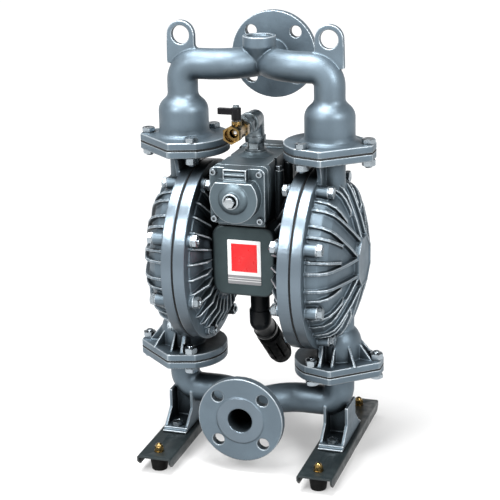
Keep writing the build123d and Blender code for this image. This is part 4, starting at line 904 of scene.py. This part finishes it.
class PUMP_OT_fasteners(bpy.types.Operator):
    """Set out the bolts, nuts and screws"""
    bl_idname = "pump.fasteners"
    bl_label = "Fasteners"

    def execute(self, context):
        settings = context.scene.pump_fasteners
        zinc = metal_finish("zinc_plate", settings.zinc, 0.30)
        gold = metal_finish("yellow_plate", settings.gold, 0.26, stain=0.55)
        ring, square = ring_tree(), corner_tree()
        self.clamp_rings(settings, ring, zinc)
        self.joints(settings, ring, zinc)
        self.caps(settings, square, zinc)
        self.feet(settings, square, gold)
        self.pads(settings, square, zinc)
        soft_edged("tie_bolts", "tie_bolt_set", 0.4 * MM, zinc)
        return {"FINISHED"}

    def clamp_rings(self, settings, tree, zinc):
        """Eight bolts round each pair of chamber rings."""
        across, head, nut, thread_radius, end = 17 * MM, 8 * MM, 8 * MM, 5 * MM, 3 * MM
        head_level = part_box("clamp_bolts")[1].x - head
        nut_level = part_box("clamp_nuts")[1].x
        heads, nuts = [], []
        for side, out, back in ((1, "+X", "-X"), (-1, "-X", "+X")):
            heads.append(circle(8, CLAMP_CIRCLE, pi / 8, (side * head_level, 0, PUMP_AXIS_HEIGHT), out))
            nuts.append(circle(8, CLAMP_CIRCLE, pi / 8, (side * nut_level, 0, PUMP_AXIS_HEIGHT), back))
        mesh = bolt_head("clamp_bolt_set", across, head, settings)
        stand_for(set_out("clamp_bolt_set", mesh, tree, heads, zinc), zinc, "clamp_bolts")
        mesh = nut_with_end("clamp_nut_set", across, nut, thread_radius, end, settings)
        stand_for(set_out("clamp_nut_set", mesh, tree, nuts, zinc), zinc, "clamp_nuts")

    def joints(self, settings, tree, zinc):
        """Three bolts through each joint, heads outermost and nuts on the chamber's side."""
        across, head, nut, thread_radius, end = 19 * MM, 7.5 * MM, 10 * MM, 6 * MM, 3 * MM
        for name, column, up in (("suction", SUCTION_COLUMN_X, -1), ("discharge", DISCHARGE_COLUMN_X, 1)):
            bolt_low, bolt_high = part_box(name + "_joint_bolts")
            nut_low, nut_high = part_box(name + "_joint_nuts")
            head_level = bolt_high.z - head if up > 0 else bolt_low.z + head
            nut_level = nut_high.z if up > 0 else nut_low.z
            out, back = ("+Z", "-Z") if up > 0 else ("-Z", "+Z")
            heads, nuts = [], []
            for side, first in ((1, 0.0), (-1, pi)):
                heads.append(circle(3, JOINT_CIRCLE, first, (side * column, 0, head_level), out))
                nuts.append(circle(3, JOINT_CIRCLE, first, (side * column, 0, nut_level), back))
            mesh = bolt_head(name + "_joint_bolt_set", across, head, settings)
            piece = set_out(name + "_joint_bolt_set", mesh, tree, heads, zinc)
            stand_for(piece, zinc, name + "_joint_bolts")
            mesh = nut_with_end(name + "_joint_nut_set", across, nut, thread_radius, end, settings)
            piece = set_out(name + "_joint_nut_set", mesh, tree, nuts, zinc)
            stand_for(piece, zinc, name + "_joint_nuts")

    def caps(self, settings, tree, zinc):
        """Socket head screws in the corners of both caps."""
        low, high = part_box("cap_screws")
        size, head = CAP_SCREW_SPACING, 6 * MM
        height = (low.z + high.z) / 2
        places = [corners(size, size, (0, low.y + head, height), "-Y"),
                  corners(size, size, (0, high.y - head, height), "+Y")]
        mesh = socket_head("cap_screw_set", settings)
        stand_for(set_out("cap_screw_set", mesh, tree, places, zinc), zinc, "cap_screws")

    def feet(self, settings, tree, gold):
        """A cap nut over each rubber foot."""
        rail_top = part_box("base_rail_right")[1].z
        places = [corners(2 * SUCTION_COLUMN_X, FOOT_SPACING, (0, 0, rail_top), "+Z")]
        mesh = dome_nut("foot_nut_set", settings)
        stand_for(set_out("foot_nut_set", mesh, tree, places, gold), gold, "foot_nuts")

    def pads(self, settings, tree, zinc):
        """Bolts through the manifold's pads, with their nuts under the rails."""
        across, head, nut, thread_radius, end = 17 * MM, 6.4 * MM, 8 * MM, 5 * MM, 2 * MM
        width = 2 * SUCTION_COLUMN_X
        head_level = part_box("pad_bolts")[1].z - head
        nut_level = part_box("pad_nuts")[1].z
        places = [corners(width, PAD_BOLT_SPACING, (0, 0, head_level), "+Z")]
        mesh = bolt_head("pad_bolt_set", across, head, settings)
        stand_for(set_out("pad_bolt_set", mesh, tree, places, zinc), zinc, "pad_bolts")
        places = [corners(width, PAD_BOLT_SPACING, (0, 0, nut_level), "-Z")]
        mesh = nut_with_end("pad_nut_set", across, nut, thread_radius, end, settings)
        stand_for(set_out("pad_nut_set", mesh, tree, places, zinc), zinc, "pad_nuts")


class PUMP_OT_air_line(bpy.types.Operator):
    """Finish the air valve, its lever and the fittings behind it"""
    bl_idname = "pump.air_line"
    bl_label = "Air Line"

    def execute(self, context):
        settings = context.scene.pump_air
        brass = metal_finish("air_valve_brass", settings.brass, 0.22, stain=0.5)
        galvanised = metal_finish("galvanised_fitting", settings.galvanised, 0.36, 500.0)
        plastic = moulded_finish("lever_plastic", settings.lever, 0.34, gloss=0.15)
        soft_edged("valve_body", "air_valve_body", settings.edge, brass)
        soft_edged("valve_lever", "air_valve_lever", settings.edge, plastic)
        soft_edged("lever_nut", "air_valve_lever_nut", 0.4 * MM, galvanised)
        soft_edged("inlet_nipple", "air_nipple_lower", settings.edge, galvanised)
        soft_edged("valve_nipple", "air_nipple_upper", settings.edge, galvanised)
        soft_edged("inlet_elbow", "air_elbow", settings.edge, galvanised)
        finish_node("valve_ball", metal_finish("valve_ball_plate", (0.6, 0.6, 0.6), 0.12))
        button = metal_finish("button_metal", (0.36, 0.39, 0.41), 0.28)
        soft_edged("reset_button", "reset_button_pin", 0.5 * MM, button)
        return {"FINISHED"}


class PUMP_OT_exhaust(bpy.types.Operator):
    """Finish the exhaust elbow and the silencer"""
    bl_idname = "pump.exhaust"
    bl_label = "Exhaust"

    def execute(self, context):
        settings = context.scene.pump_air
        elbow = moulded_finish("exhaust_elbow_plastic", shaded(settings.exhaust, 2.8), 0.34, gloss=0.15)
        black = moulded_finish("silencer_plastic", settings.exhaust, 0.68, gloss=0.05)
        soft_edged("exhaust_elbow", "exhaust_elbow_shell", settings.edge, elbow)
        soft_edged("muffler", "silencer_shell", settings.edge, black)
        return {"FINISHED"}


class PUMP_OT_base(bpy.types.Operator):
    """Finish the rails and their rubber feet"""
    bl_idname = "pump.base"
    bl_label = "Base"

    def execute(self, context):
        settings = context.scene.pump_base
        paint = rail_finish("rail_paint", settings.rail)
        rubber = moulded_finish("foot_rubber", settings.rubber, 0.72, 0.0001, 0.12)
        for side in ("right", "left"):
            soft_edged("base_rail_" + side, f"base_rail_{side}_channel", settings.edge, paint)
        soft_edged("rubber_feet", "rubber_foot_set", 1.2 * MM, rubber)
        return {"FINISHED"}


class PUMP_OT_label(bpy.types.Operator):
    """Finish the plain label on the centre body"""
    bl_idname = "pump.label"
    bl_label = "Label"

    def execute(self, context):
        low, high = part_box("label_plate")
        finish = label_finish("label_print", context.scene.pump_label, low, high)
        soft_edged("label_plate", "label_sheet", 0.2 * MM, finish)
        return {"FINISHED"}


class PUMP_OT_inner_parts(bpy.types.Operator):
    """Finish the pieces inside the pump and the gaskets"""
    bl_idname = "pump.inner_parts"
    bl_label = "Inner Parts"

    def execute(self, context):
        rubber = moulded_finish("valve_rubber", context.scene.pump_base.rubber, 0.6)
        finishes = {
            "stainless": metal_finish("turned_stainless", (0.56, 0.57, 0.58), 0.24, 1200.0),
            "bronze": metal_finish("bored_bronze", (0.46, 0.30, 0.12), 0.30, 1200.0),
            "black_rubber": rubber,
            "gasket_sheet": gasket_finish("fibre_sheet", (0.012, 0.013, 0.013)),
        }
        shown = {piece.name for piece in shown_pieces()}
        for node, slot in SLOT_OF.items():
            if slot in finishes and frame["nodes"][node].name in shown:
                finish_node(node, finishes[slot])
        return {"FINISHED"}


class PUMP_PT_panel(bpy.types.Panel):
    """Sidebar panel with the pump's settings and its steps"""
    bl_idname = "PUMP_PT_panel"
    bl_label = "Diaphragm Pump"
    bl_space_type = "VIEW_3D"
    bl_region_type = "UI"
    bl_category = "Pump"

    def draw(self, context):
        for title, name, group, steps in SECTIONS:
            box = self.layout.box()
            box.label(text=title)
            settings = getattr(context.scene, name)
            for key in group.__annotations__:
                box.prop(settings, key)
            for step in steps:
                box.operator(step.bl_idname)


SECTIONS = (
    ("Stage", "pump_stage", PumpStageSettings, (PUMP_OT_stage,)),
    ("Castings", "pump_castings", PumpCastingSettings, (PUMP_OT_castings,)),
    ("Fasteners", "pump_fasteners", PumpFastenerSettings, (PUMP_OT_fasteners,)),
    ("Air", "pump_air", PumpAirSettings, (PUMP_OT_air_line, PUMP_OT_exhaust)),
    ("Base", "pump_base", PumpBaseSettings, (PUMP_OT_base, PUMP_OT_parting_beads, PUMP_OT_inner_parts)),
    ("Label", "pump_label", PumpLabelSettings, (PUMP_OT_label,)),
)


def register():
    for title, name, group, steps in SECTIONS:
        bpy.utils.register_class(group)
        setattr(bpy.types.Scene, name, PointerProperty(type=group))
        for step in steps:
            bpy.utils.register_class(step)
    bpy.utils.register_class(PUMP_PT_panel)


def unregister():
    bpy.utils.unregister_class(PUMP_PT_panel)
    for title, name, group, steps in reversed(SECTIONS):
        for step in steps:
            bpy.utils.unregister_class(step)
        delattr(bpy.types.Scene, name)
        bpy.utils.unregister_class(group)


def main():
    """Makes the whole scene."""
    register()
    bpy.ops.pump.stage()
    bpy.ops.pump.castings()
    bpy.ops.pump.parting_beads()
    bpy.ops.pump.fasteners()
    bpy.ops.pump.air_line()
    bpy.ops.pump.exhaust()
    bpy.ops.pump.base()
    bpy.ops.pump.label()
    bpy.ops.pump.inner_parts()


if __name__ == "__main__":
    main()
